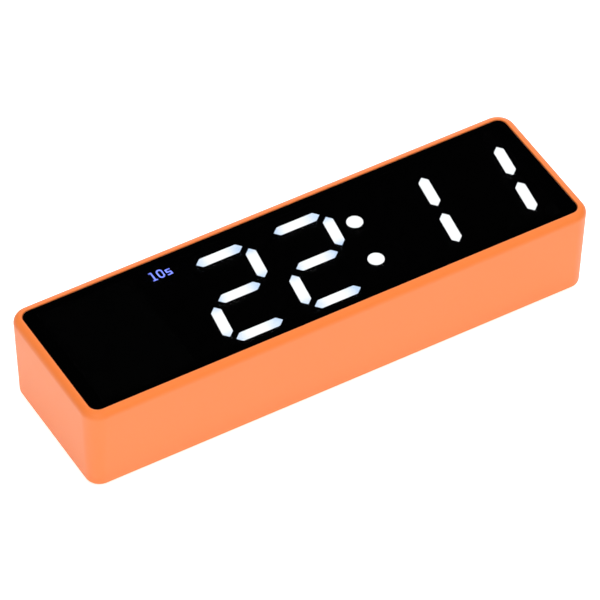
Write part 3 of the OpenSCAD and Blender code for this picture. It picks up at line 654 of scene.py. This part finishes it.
ORANGE = dict(level=0.36, rough=0.44, mottle=0.02, spread=0.07, scale=3200.0, depth=0.22)
FINISHES = {
    "housing_plastic": lambda s: moulded(s, colours().housing, **ORANGE),
    "button_plastic": lambda s: moulded(s, colours().button, **{**ORANGE, "rough": 0.38}),
    "smoked_window": smoked_window,
    "black_plastic": lambda s: moulded(s, (0.012, 0.012, 0.013), 0.42),
    "adhesive_tape": lambda s: moulded(s, (0.012, 0.012, 0.013), 0.8, depth=0.3, level=0.2),
    "reflector_plastic": lambda s: moulded(s, (0.009, 0.009, 0.01), 0.75, level=0.15),
    "lit_white": lit_bars,
    "unlit_diffuser": lambda s: moulded(s, (0.011, 0.011, 0.012), 0.7, level=0.15),
    "lit_blue": lit_mark,
    "led_resin": lambda s: moulded(s, (0.85, 0.66, 0.12), 0.2, 0.2, scale=900.0),
    "circuit_board": circuit_board,
    "screw_steel": lambda s: metal(s, (0.34, 0.35, 0.37), 0.34, (2500.0, 2500.0, 2500.0), 0.12),
    "chip_resin": lambda s: moulded(s, (0.018, 0.018, 0.02), 0.55, 0.2, depth=0.35),
    "crystal_can": lambda s: metal(s, (0.62, 0.63, 0.65), 0.26, (200.0, 3000.0, 3000.0)),
    "capacitor_ceramic": lambda s: moulded(s, (0.38, 0.22, 0.1), 0.6, 0.25, scale=1500.0),
    "ferrite": lambda s: moulded(s, (0.06, 0.06, 0.065), 0.62, 0.3, scale=1200.0, depth=0.5),
    "socket_steel": lambda s: metal(s, (0.66, 0.67, 0.69), 0.24, (200.0, 2600.0, 2600.0)),
    "plunger_plastic": lambda s: moulded(s, (0.78, 0.74, 0.62), 0.3),
    "light_pipe": lambda s: moulded(
        s, (0.62, 0.66, 0.64), 0.18, 0.1, level=0.6, Transmission_Weight=0.35, IOR=1.49
    ),
    "battery_foil": lambda s: metal(s, (0.5, 0.51, 0.53), 0.42, (700.0, 700.0, 700.0), 0.2),
    "lead_insulation": lambda s: moulded(s, (0.45, 0.02, 0.015), 0.42, 0.04, 0.06, 1800.0, 0.1),
    "connector_nylon": lambda s: moulded(s, (0.78, 0.75, 0.66), 0.4, 0.1),
    "foam": lambda s: moulded(
        s, (0.025, 0.025, 0.026), 0.92, 0.4, scale=1400.0, depth=0.8, level=0.1
    ),
    "speaker_steel": lambda s: metal(s, (0.3, 0.31, 0.32), 0.45, (900.0, 900.0, 900.0), 0.15),
    "cone_paper": lambda s: moulded(
        s, (0.02, 0.02, 0.02), 0.85, 0.35, scale=1600.0, depth=0.6, level=0.2
    ),
    "magnet_nickel": lambda s: metal(s, (0.62, 0.62, 0.6), 0.14, (400.0, 400.0, 400.0), 0.03),
    "pad_rubber": lambda s: moulded(
        s, (0.022, 0.022, 0.023), 0.78, 0.2, scale=1700.0, depth=0.5, level=0.3
    ),
    "label_paper": lambda s: moulded(s, (0.5, 0.51, 0.52), 0.46, 0.06, scale=900.0, depth=0.08),
}


def finish(slot):
    return bpy.data.materials.get(slot + "_finish") or FINISHES[slot](slot)


# ---------------------------------------------------------------- housing


def drawn_in(z):
    """How far the drafted wall has drawn in at a height."""
    settings = housing_settings()
    widest = HOUSING_HIGH.z - settings.front_edge
    return math.tan(settings.draft) * (widest - z)


def half_length(z):
    return (HOUSING_HIGH.x - HOUSING_LOW.x) / 2 - drawn_in(z)


def half_width(z):
    return (HOUSING_HIGH.y - HOUSING_LOW.y) / 2 - drawn_in(z)


def wall_profile():
    """The wall's section as (distance from the corner's axis, height), from the back to the inside."""
    s = housing_settings()
    corner = s.corner
    back, rim, floor = HOUSING_LOW.z, HOUSING_HIGH.z, HOUSING_LOW.z + s.floor
    tilt = math.degrees(s.draft)

    def arc(radius, height, start, end, steps):
        centre = corner - drawn_in(height) - radius / math.cos(s.draft)
        angles = [math.radians(start + (end - start) * i / steps) for i in range(steps + 1)]
        return [(centre + radius * math.cos(a), height + radius * math.sin(a)) for a in angles]

    return [
        *arc(s.back_edge, back + s.back_edge, -90, -tilt, 5),
        *arc(s.front_edge, rim - s.front_edge, -tilt, 90, 9),
        (corner - s.wall - drawn_in(rim), rim),
        (corner - s.wall - drawn_in(floor), floor),
    ]


def swept_tub():
    """Draws the section at a corner, then pulls it along the sides and spins it round corners."""
    s = housing_settings()
    profile = wall_profile()
    run_x = half_length(HOUSING_HIGH.z - s.front_edge) - s.corner
    run_y = half_width(HOUSING_HIGH.z - s.front_edge) - s.corner
    ob = open_outline("housing_shell", [(run_x + out, -run_y, height) for out, height in profile])
    sides = ((0, 2 * run_y), (-2 * run_x, 0), (0, -2 * run_y), (2 * run_x, 0))
    corners_ahead = ((run_x, run_y), (-run_x, run_y), (-run_x, -run_y), (run_x, -run_y))
    with editing(ob, "EDGE"):
        bpy.ops.mesh.select_all(action="SELECT")
        for side, corner in zip(sides, corners_ahead):
            bpy.ops.mesh.extrude_region_move(TRANSFORM_OT_translate={"value": (*side, 0)})
            bpy.ops.mesh.spin(
                steps=s.arc_steps, angle=math.pi / 2, center=(*corner, 0), axis=(0, 0, -1), dupli=False
            )
        weld(2e-6)
        for height in (HOUSING_LOW.z, HOUSING_LOW.z + s.floor):
            mesh = bmesh.from_edit_mesh(ob.data)
            pick(ob, mesh.edges, lambda e: e.is_boundary and abs(middle(e).z - height) < 1e-6)
            bpy.ops.mesh.edge_face_add()
            bpy.ops.mesh.select_all(action="DESELECT")
        bpy.ops.mesh.select_all(action="SELECT")
        bpy.ops.mesh.normals_make_consistent(inside=False)
    return ob


def sunk(ob, wall, height):
    """Presses the top of a solid down almost to its foot, leaving a wall round it."""
    press(ob, facing(2, 1), wall, (0, 0, -height + 0.02 * MM))
    return ob


def four_places(node, size):
    """Middles of four like pieces, each in a corner of the node's box."""
    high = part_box(node)[1]
    x, y = high.x - size[0] / 2, high.y - size[1] / 2
    return [(i * x, j * y) for i in (-1, 1) for j in (-1, 1)]


def screw_places():
    return four_places("case_screws", (2 * SCREW_HEAD, 2 * SCREW_HEAD))


def pad_places():
    return four_places("rubber_pads", PAD)


def middle_of(node):
    low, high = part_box(node)
    return (low + high) / 2


def housing_additions():
    """Screw feet, speaker ring and magnet pockets, standing on the inner floor."""
    start = HOUSING_LOW.z + housing_settings().floor - SINK
    foot_z = start + FOOT_HEIGHT / 2
    feet = [(x, y, foot_z) for x, y in screw_places()]
    parts = [rod("screw_foot", foot, "Z", FOOT_RADIUS, FOOT_HEIGHT, 48) for foot in feet]
    speaker = middle_of("speaker_magnet")
    tall = RING_HEIGHT + SINK
    disc = rod("speaker_ring", (speaker.x, speaker.y, start + tall / 2), "Z", RING_OUTER, tall, 64)
    parts.append(sunk(disc, RING_OUTER - RING_INNER, tall))
    tall = POCKET_HEIGHT + SINK
    pockets = [(x, 0, END_POCKET) for x in (-END_POCKET_X, END_POCKET_X)]
    pockets += [(x, SIDE_POCKET_Y, SIDE_POCKET) for x in (-SIDE_POCKET_X, SIDE_POCKET_X)]
    for x, y, (wide, deep) in pockets:
        low = (x - wide / 2, y - deep / 2, start)
        high = (x + wide / 2, y + deep / 2, start + tall)
        parts.append(sunk(block("magnet_pocket", low, high), POCKET_WALL, tall))
    return joined(parts)


def reach_y(height):
    """From inside the near or far wall to well outside it, at a height."""
    return half_width(height) - housing_settings().wall - MM, half_width(height) + MM


def reach_x(height):
    return half_length(height) - housing_settings().wall - MM, half_length(height) + MM


def hole_box(axis, centre, size, depth, height):
    """Corners of a cut that opens outwards at a height, depth deep, or right through for None."""
    inside, outside = (reach_x if axis == 0 else reach_y)(height)
    if depth is not None:
        inside = outside - MM - depth
    low, high = [0.0] * 3, [0.0] * 3
    low[axis], high[axis] = inside, outside
    other = 1 - axis
    low[other], high[other] = centre - size[0] / 2, centre + size[0] / 2
    low[2], high[2] = height - size[1] / 2, height + size[1] / 2
    return low, high


def housing_recesses():
    """The shallow cuts: around the buttons, socket and switch, and for the screw heads and pads."""
    s, c = housing_settings(), control_settings()
    keys = [middle_of(k + "_button") for k in KEYS]
    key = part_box("mode_button")
    tall = key[1].z - key[0].z - 2 * c.flange_edge
    long = key[1].x - key[0].x - 2 * c.flange_edge
    strip = (keys[-1].x - keys[0].x + long + 2 * c.strip_edge, tall + 2 * c.strip_edge)
    socket, switch = middle_of("usb_shell"), middle_of("power_switch_lever")
    parts = [
        pill("strip_recess", *hole_box(1, 0, strip, c.strip_depth, keys[0].z), 1),
        pill("socket_recess", *hole_box(0, socket.y, SOCKET_RECESS, c.end_recess, socket.z), 0),
        pill("switch_recess", *hole_box(0, SWITCH_Y, SWITCH_RECESS, c.end_recess, switch.z), 0),
    ]
    for x, y in screw_places():
        parts.append(rod("counterbore", (x, y, 1.5 * MM), "Z", COUNTERBORE, 4 * MM, 48))
    reach = [side / 2 + PAD_GAP for side in PAD]
    for x, y in pad_places():
        low = (x - reach[0], y - reach[1], -MM)
        high = (x + reach[0], y + reach[1], HOUSING_LOW.z + PAD_RECESS)
        parts.append(pill("pad_recess", low, high, 2))
    return joined(parts)


def housing_holes():
    """The cuts right through: speaker grille, buttons, socket, light, switch and screws."""
    c = control_settings()
    parts = []
    speaker = middle_of("speaker_magnet")
    for row in range(GRILLE_ROWS):
        out = row * GRILLE_PITCH
        for i in range(max(1, 6 * row)):
            turn = math.pi / 3 * i / max(row, 1)
            place = (speaker.x + out * math.cos(turn), speaker.y + out * math.sin(turn), 1.6 * MM)
            parts.append(rod("grille_hole", place, "Z", GRILLE_RADIUS, 6 * MM, 20))
    for x, y in screw_places():
        parts.append(rod("screw_hole", (x, y, 5.5 * MM), "Z", SCREW_HOLE, 6 * MM, 32))
    for key in KEYS:
        low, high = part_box(key + "_button")
        size = [high[i] - low[i] - 2 * c.flange_edge + 2 * c.key_gap for i in (0, 2)]
        centre = (low + high) / 2
        parts.append(pill("key_hole", *hole_box(1, centre.x, size, None, centre.z), 1, 14))
    socket, switch = middle_of("usb_shell"), middle_of("power_switch_lever")
    parts.append(pill("socket_hole", *hole_box(0, socket.y, SOCKET_HOLE, None, socket.z), 0, 12))
    parts.append(block("switch_slot", *hole_box(0, SWITCH_Y, SWITCH_SLOT, None, switch.z)))
    light = middle_of("charge_light_pipe")
    inside, outside = reach_x(light.z)
    place = ((inside + outside) / 2, light.y, light.z)
    parts.append(rod("light_hole", place, "X", LIGHT_RADIUS, outside - inside))
    return joined(parts)


def break_outer_edges(ob, width):
    """A small bevel on the sharp edges that lie on the outside of the housing."""

    def outside(edge):
        x, y, z = middle(edge)
        if z < HOUSING_LOW.z + 1.5 * MM or z > HOUSING_HIGH.z - 0.1 * MM:
            return True
        return abs(x) > half_length(z) - 1.2 * MM or abs(y) > half_width(z) - 1.2 * MM

    def sharp(edge):
        return edge.is_manifold and edge.calc_face_angle(0) > math.radians(35)

    with editing(ob, "EDGE") as mesh:
        pick(ob, mesh.edges, lambda e: sharp(e) and outside(e))
        bevel_picked(width, 2)


class CLOCK_OT_housing(bpy.types.Operator):
    """Spins and draws the drafted tub, then adds its ribs and cuts its openings"""

    bl_idname = "clock.housing"
    bl_label = "Housing"

    def execute(self, context):
        ob = swept_tub()
        combine(ob, housing_additions(), "UNION")
        combine(ob, housing_recesses(), "DIFFERENCE")
        combine(ob, housing_holes(), "DIFFERENCE")
        break_outer_edges(ob, housing_settings().soft_edge)
        finish_edges(ob)
        stands_for(ob, "housing", CASE, "housing_plastic")
        return {"FINISHED"}


# ---------------------------------------------------------------- window


class CLOCK_OT_window(bpy.types.Operator):
    """Cuts the smoked window from a block and polishes its edges"""

    bl_idname = "clock.window"
    bl_label = "Window"

    def execute(self, context):
        low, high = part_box("lens")
        ob = rounded_block("smoked_pane", low, high, 2, LENS_CORNER, 12)
        soften_rim(ob, 2, high.z, LENS_EDGE, 2)
        soften_rim(ob, 2, low.z, LENS_EDGE, 1)
        finish_edges(ob)
        stands_for(ob, "lens", CASE, "smoked_window")
        return {"FINISHED"}


# ---------------------------------------------------------------- buttons and switch


def sign_tools(key, centre, face, depth):
    """Cutters for a button's sign, as blocks, a ring and an arrow head."""
    deep = (face - depth, face + MM)
    stroke, size = 0.5 * MM, 2.4 * MM

    def bar(x, z, wide, tall):
        return block(
            "sign_bar",
            (centre.x + x - wide / 2, deep[0], centre.z + z - tall / 2),
            (centre.x + x + wide / 2, deep[1], centre.z + z + tall / 2),
        )

    if key == "mode":
        place = (centre.x, sum(deep) / 2, centre.z)
        outer = rod("sign_ring", place, "Y", size / 2, deep[1] - deep[0], 40)
        combine(outer, rod("ring_core", place, "Y", size / 2 - stroke, 5 * MM, 40), "DIFFERENCE")
        return [outer]
    if key == "set":
        return [bar(0, row * 0.85 * MM, size, stroke * 0.8) for row in (-1, 0, 1)]
    if key == "down":
        return [bar(0, 0, size, stroke)]
    if key == "up":
        return [bar(0, 0, size, stroke), bar(0, 0, stroke, size)]
    head = bar(-size * 0.325, 0, size * 0.75, size)
    with editing(head, "VERT") as mesh:
        pick(head, mesh.verts, lambda v: v.co.x > centre.x - size * 0.3)
        bpy.ops.transform.resize(value=(1, 1, 0), center_override=(centre.x, face, centre.z))
        weld(1e-6)
    return [head, bar(size * 0.3, 0, stroke * 0.8, size), bar(size * 0.62, 0, stroke * 0.8, size)]


def key_cap(key):
    """A flanged pill, its face extruded out and rounded, with a stem behind and a sign cut in."""
    c = control_settings()
    low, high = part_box(key + "_button")
    centre = (low + high) / 2
    shoulder = half_width(low.z) - housing_settings().wall - 0.1 * MM
    ob = pill(key + "_cap", (low.x, shoulder - c.flange, low.z), (high.x, shoulder, high.z), 1, 12)
    press(ob, facing(1, 1), c.flange_edge, (0, high.y - shoulder, 0))
    soften_rim(ob, 1, high.y, c.key_edge, 4)
    stem_end = shoulder - c.flange + 0.3 * MM
    stem = (centre.x, (low.y + stem_end) / 2, centre.z)
    combine(ob, rod("stem", stem, "Y", 1.75 * MM, stem_end - low.y), "UNION")
    for tool in sign_tools(key, centre, high.y, c.engraving):
        combine(ob, tool, "DIFFERENCE")
    finish_edges(ob)
    return ob


class CLOCK_OT_buttons(bpy.types.Operator):
    """Makes the five button caps with their signs"""

    bl_idname = "clock.buttons"
    bl_label = "Buttons"

    def execute(self, context):
        for key in KEYS:
            stands_for(key_cap(key), key + "_button", key + "_key", "button_plastic")
        return {"FINISHED"}


class CLOCK_OT_power_switch(bpy.types.Operator):
    """Makes the sliding knob of the power switch, with three grip grooves"""

    bl_idname = "clock.power_switch"
    bl_label = "Power Switch"

    def execute(self, context):
        low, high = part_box("power_knob")
        centre = (low + high) / 2
        plate, edge = MM, 1.2 * MM
        ob = rounded_block("slide_knob", low, (low.x + plate, high.y, high.z), 0, 0.5 * MM, 3)
        foot = (low.x + plate / 2, low.y + edge, low.z + edge)
        grip = rounded_block("grip", foot, (high.x, high.y - edge, high.z - edge), 0, 0.25 * MM, 3)
        soften_rim(grip, 0, high.x, 0.15 * MM, 2)
        combine(ob, grip, "UNION")
        for row in (-1, 0, 1):
            y = centre.y + row * 0.9 * MM
            start, end = (high.x - 0.3 * MM, y - 0.2 * MM, low.z), (high.x + MM, y + 0.2 * MM, high.z)
            combine(ob, block("groove", start, end), "DIFFERENCE")
        finish_edges(ob)
        stands_for(ob, "power_knob", "power_slider", "black_plastic")
        return {"FINISHED"}


class CLOCK_OT_socket(bpy.types.Operator):
    """Draws the steel shell of the charging socket, open at its mouth"""

    bl_idname = "clock.socket"
    bl_label = "Charging Socket"

    def execute(self, context):
        low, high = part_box("usb_shell")
        ob = pill("socket_sleeve", low, high, 0, 12)
        press(ob, facing(0, 1), 0.3 * MM, (low.x + MM - high.x, 0, 0))
        finish_edges(ob, 0.05 * MM, 40)
        stands_for(ob, "usb_shell", CASE, "socket_steel")
        return {"FINISHED"}


# ---------------------------------------------------------------- fasteners, pads and label


def case_screw(place):
    """A pan-head screw with rolled threads and a cross recess."""
    low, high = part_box("case_screws")
    head, seat = low.z, low.z + 1.8 * MM
    core, crest, pitch = 0.82 * MM, 1.1 * MM, 0.8 * MM
    profile = [(0, head), (1.55 * MM, head), (2.05 * MM, head + 0.18 * MM)]
    profile += [(SCREW_HEAD, head + 0.75 * MM), (SCREW_HEAD, seat), (core, seat)]
    height = seat + 0.6 * MM
    while height + pitch < high.z - 1.2 * MM:
        profile += [(core, height), (crest, height + 0.3 * pitch), (core, height + 0.6 * pitch)]
        height += pitch
    profile += [(core, high.z - 1.2 * MM), (0, high.z)]
    ob = turned("case_screw", profile, place)
    x, y = place
    for wide, deep in ((CROSS_REACH, CROSS_HALF_WIDTH), (CROSS_HALF_WIDTH, CROSS_REACH)):
        slot = block("slot", (x - wide, y - deep, head - MM), (x + wide, y + deep, head + MM))
        combine(ob, slot, "DIFFERENCE")
    return ob


class CLOCK_OT_fasteners(bpy.types.Operator):
    """Turns one case screw and sets a copy in each corner"""

    bl_idname = "clock.fasteners"
    bl_label = "Case Screws"

    def execute(self, context):
        places = screw_places()
        first = case_screw(places[0])
        screws = [first]
        for place in places[1:]:
            activate(first)
            bpy.ops.object.duplicate(linked=False)
            copy = bpy.context.object
            copy.location = (place[0] - places[0][0], place[1] - places[0][1], 0)
            screws.append(settle(copy))
        ob = joined(screws)
        ob.name = "pan_head_screws"
        finish_edges(ob)
        stands_for(ob, "case_screws", CASE, "screw_steel")
        return {"FINISHED"}


class CLOCK_OT_pads(bpy.types.Operator):
    """Moulds the four rubber pads, each with a softened rim and a shallow dish"""

    bl_idname = "clock.pads"
    bl_label = "Rubber Pads"

    def execute(self, context):
        low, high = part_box("rubber_pads")
        pads = []
        long, wide = PAD
        for x, y in pad_places():
            start, end = (x - long / 2, y - wide / 2, low.z), (x + long / 2, y + wide / 2, high.z)
            ob = pill("pad", start, end, 2, 12)
            soften_rim(ob, 2, low.z, 0.25 * MM, 3)
            with editing(ob) as mesh:
                pick(ob, mesh.faces, lambda f: f.normal.z < -0.95 and f.calc_area() > 10 * MM * MM)
                bpy.ops.mesh.inset(thickness=0.5 * MM, depth=0)
                bpy.ops.mesh.extrude_region_move(TRANSFORM_OT_translate={"value": (0, 0, 0.12 * MM)})
                bpy.ops.transform.resize(value=(0.985, 0.96, 1), center_override=(x, y, low.z))
            pads.append(ob)
        ob = joined(pads)
        ob.name = "foot_pads"
        finish_edges(ob)
        stands_for(ob, "rubber_pads", CASE, "pad_rubber")
        return {"FINISHED"}


class CLOCK_OT_label(bpy.types.Operator):
    """Lays the blank label on the back, with a thin frame pressed into it"""

    bl_idname = "clock.label"
    bl_label = "Blank Label"

    def execute(self, context):
        low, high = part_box("rating_label")
        ob = rounded_block("blank_label", low, high, 2, MM, 6)
        with editing(ob) as mesh:
            for thickness, sink in ((0.45, 0.0), (0.1, 0.04), (0.25, 0.0), (0.1, -0.04)):
                pick(ob, mesh.faces, lambda f: f.normal.z < -0.9 and f.calc_area() > 200 * MM * MM)
                bpy.ops.mesh.inset(thickness=thickness * MM, depth=-sink * MM)
                mesh = bmesh.from_edit_mesh(ob.data)
        finish_edges(ob, angle=20)
        stands_for(ob, "rating_label", CASE, "label_paper")
        return {"FINISHED"}


# ---------------------------------------------------------------- carried-over parts


class CLOCK_OT_inner_parts(bpy.types.Operator):
    """Gives every part that keeps its CAD shape the finish of its material slot"""

    bl_idname = "clock.inner_parts"
    bl_label = "Display and Inner Parts"

    def execute(self, context):
        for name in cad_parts:
            ob = bpy.data.objects.get(name)
            if ob is None or ob.type != "MESH" or ob.hide_render:
                continue
            for slot in ob.material_slots:
                slot.material = finish(slot.material.name.split(".")[0])
        return {"FINISHED"}


# ---------------------------------------------------------------- stage


def aim(ob, target):
    ob.rotation_euler = (Vector(target) - ob.location).to_track_quat("-Z", "Y").to_euler()


def soft_light(name, place, size, watts, tint=(1, 1, 1)):
    deselect()
    bpy.ops.object.light_add(type="AREA", location=place)
    ob = bpy.context.object
    ob.name = name
    ob.data.shape = "DISK"
    ob.data.size = size
    ob.data.energy = watts
    ob.data.color = tint
    aim(ob, (0, 0, 0.01))
    return ob


def studio_world():
    """A pale surround for the eye, and a dimmer one for the light it gives."""
    world = bpy.data.worlds.new("studio")
    world.use_nodes = True
    tree = world.node_tree
    tree.nodes.clear()
    seen = add(tree, "ShaderNodeBackground", {"Color": (0.93, 0.93, 0.93, 1), "Strength": 1.0})
    dim = add(tree, "ShaderNodeBackground", {"Color": (0.9, 0.93, 1.0, 1), "Strength": 0.008})
    path = tree.nodes.new("ShaderNodeLightPath")
    mix = tree.nodes.new("ShaderNodeMixShader")
    tree.links.new(path.outputs["Is Camera Ray"], mix.inputs[0])
    tree.links.new(dim.outputs[0], mix.inputs[1])
    tree.links.new(seen.outputs[0], mix.inputs[2])
    tree.links.new(mix.outputs[0], tree.nodes.new("ShaderNodeOutputWorld").inputs["Surface"])
    bpy.context.scene.world = world


def see_through_from_below(material):
    """Hides a sheet from a camera under it, so that the underside of the clock can be looked at."""
    tree = material.node_tree
    below = tree.nodes.new("ShaderNodeNewGeometry").outputs["Backfacing"]
    mix = tree.nodes.new("ShaderNodeMixShader")
    tree.links.new(below, mix.inputs[0])
    tree.links.new(tree.nodes["Principled BSDF"].outputs[0], mix.inputs[1])
    tree.links.new(tree.nodes.new("ShaderNodeBsdfTransparent").outputs[0], mix.inputs[2])
    tree.links.new(mix.outputs[0], tree.nodes["Material Output"].inputs["Surface"])


def studio_floor():
    """A wide pale sheet just under the pads."""
    deselect()
    bpy.ops.mesh.primitive_plane_add(size=8, location=(0, 0, -0.00002))
    ob = called("studio_floor")
    pale = rgba(colours().floor)
    material = moulded(
        "floor", pale, 0.8, 0.01, 0.05, 300.0, 0.05, level=0.2,
        Emission_Color=pale, Emission_Strength=0.72,
    )
    see_through_from_below(material)
    ob.data.materials.append(material)


class CLOCK_OT_stage(bpy.types.Operator):
    """Sets the pale floor, the soft studio lights and the camera"""

    bl_idname = "clock.stage"
    bl_label = "Studio Stage"

    def execute(self, context):
        s = context.scene.clock_studio
        studio_floor()
        studio_world()
        soft_light("key_light", (-0.75, -1.05, 1.15), 1.2, s.key_light, (1.0, 0.985, 0.97))
        overhead = soft_light("top_light", (0.1, -0.1, 1.5), 1.6, s.top_light)
        # The window shows no mirror image of this light, on its face or from inside it
        overhead.visible_glossy = False
        overhead.visible_transmission = False
        soft_light("back_light", (0.62, 1.05, 0.45), 1.1, s.back_light)
        flat = math.cos(s.elevation)
        way = Vector((math.sin(s.azimuth) * flat, -math.cos(s.azimuth) * flat, math.sin(s.elevation)))
        deselect()
        bpy.ops.object.camera_add(location=LOOK_AT + way * s.distance)
        camera = bpy.context.object
        camera.name = "studio_camera"
        level = Euler((math.pi / 2 - s.elevation, 0, s.azimuth)).to_matrix()
        camera.rotation_euler = (level @ Matrix.Rotation(s.roll, 3, "Z")).to_euler()
        camera.data.lens = s.focal
        camera.data.sensor_width = 36
        camera.data.clip_start = 0.05
        camera.data.clip_end = 30
        context.scene.camera = camera
        context.scene.view_settings.view_transform = "Standard"
        return {"FINISHED"}


# ---------------------------------------------------------------- panel and registration

STEPS = (
    CLOCK_OT_housing,
    CLOCK_OT_window,
    CLOCK_OT_buttons,
    CLOCK_OT_power_switch,
    CLOCK_OT_socket,
    CLOCK_OT_fasteners,
    CLOCK_OT_pads,
    CLOCK_OT_label,
    CLOCK_OT_inner_parts,
    CLOCK_OT_stage,
)
SETTINGS = (
    ("clock_housing", ClockHousingSettings),
    ("clock_controls", ClockControlSettings),
    ("clock_colours", ClockColourSettings),
    ("clock_studio", ClockStudioSettings),
)


class CLOCK_PT_builder(bpy.types.Panel):
    """Lists the clock's settings and the steps that build it"""

    bl_idname = "CLOCK_PT_builder"
    bl_label = "Desk Alarm Clock"
    bl_space_type = "VIEW_3D"
    bl_region_type = "UI"
    bl_category = "Alarm Clock"

    def draw(self, context):
        for name, group_type in SETTINGS:
            box = self.layout.box()
            settings = getattr(context.scene, name)
            for key in group_type.__annotations__:
                box.prop(settings, key)
        for step in STEPS:
            self.layout.operator(step.bl_idname)


CLASSES = (*(kind for name, kind in SETTINGS), *STEPS, CLOCK_PT_builder)


def register():
    for kind in CLASSES:
        bpy.utils.register_class(kind)
    for name, kind in SETTINGS:
        setattr(bpy.types.Scene, name, bpy.props.PointerProperty(type=kind))


def unregister():
    for name, kind in SETTINGS:
        delattr(bpy.types.Scene, name)
    for kind in reversed(CLASSES):
        bpy.utils.unregister_class(kind)


def main():
    register()
    for step in STEPS:
        getattr(bpy.ops.clock, step.bl_idname.split(".")[1])()


if __name__ == "__main__":
    main()
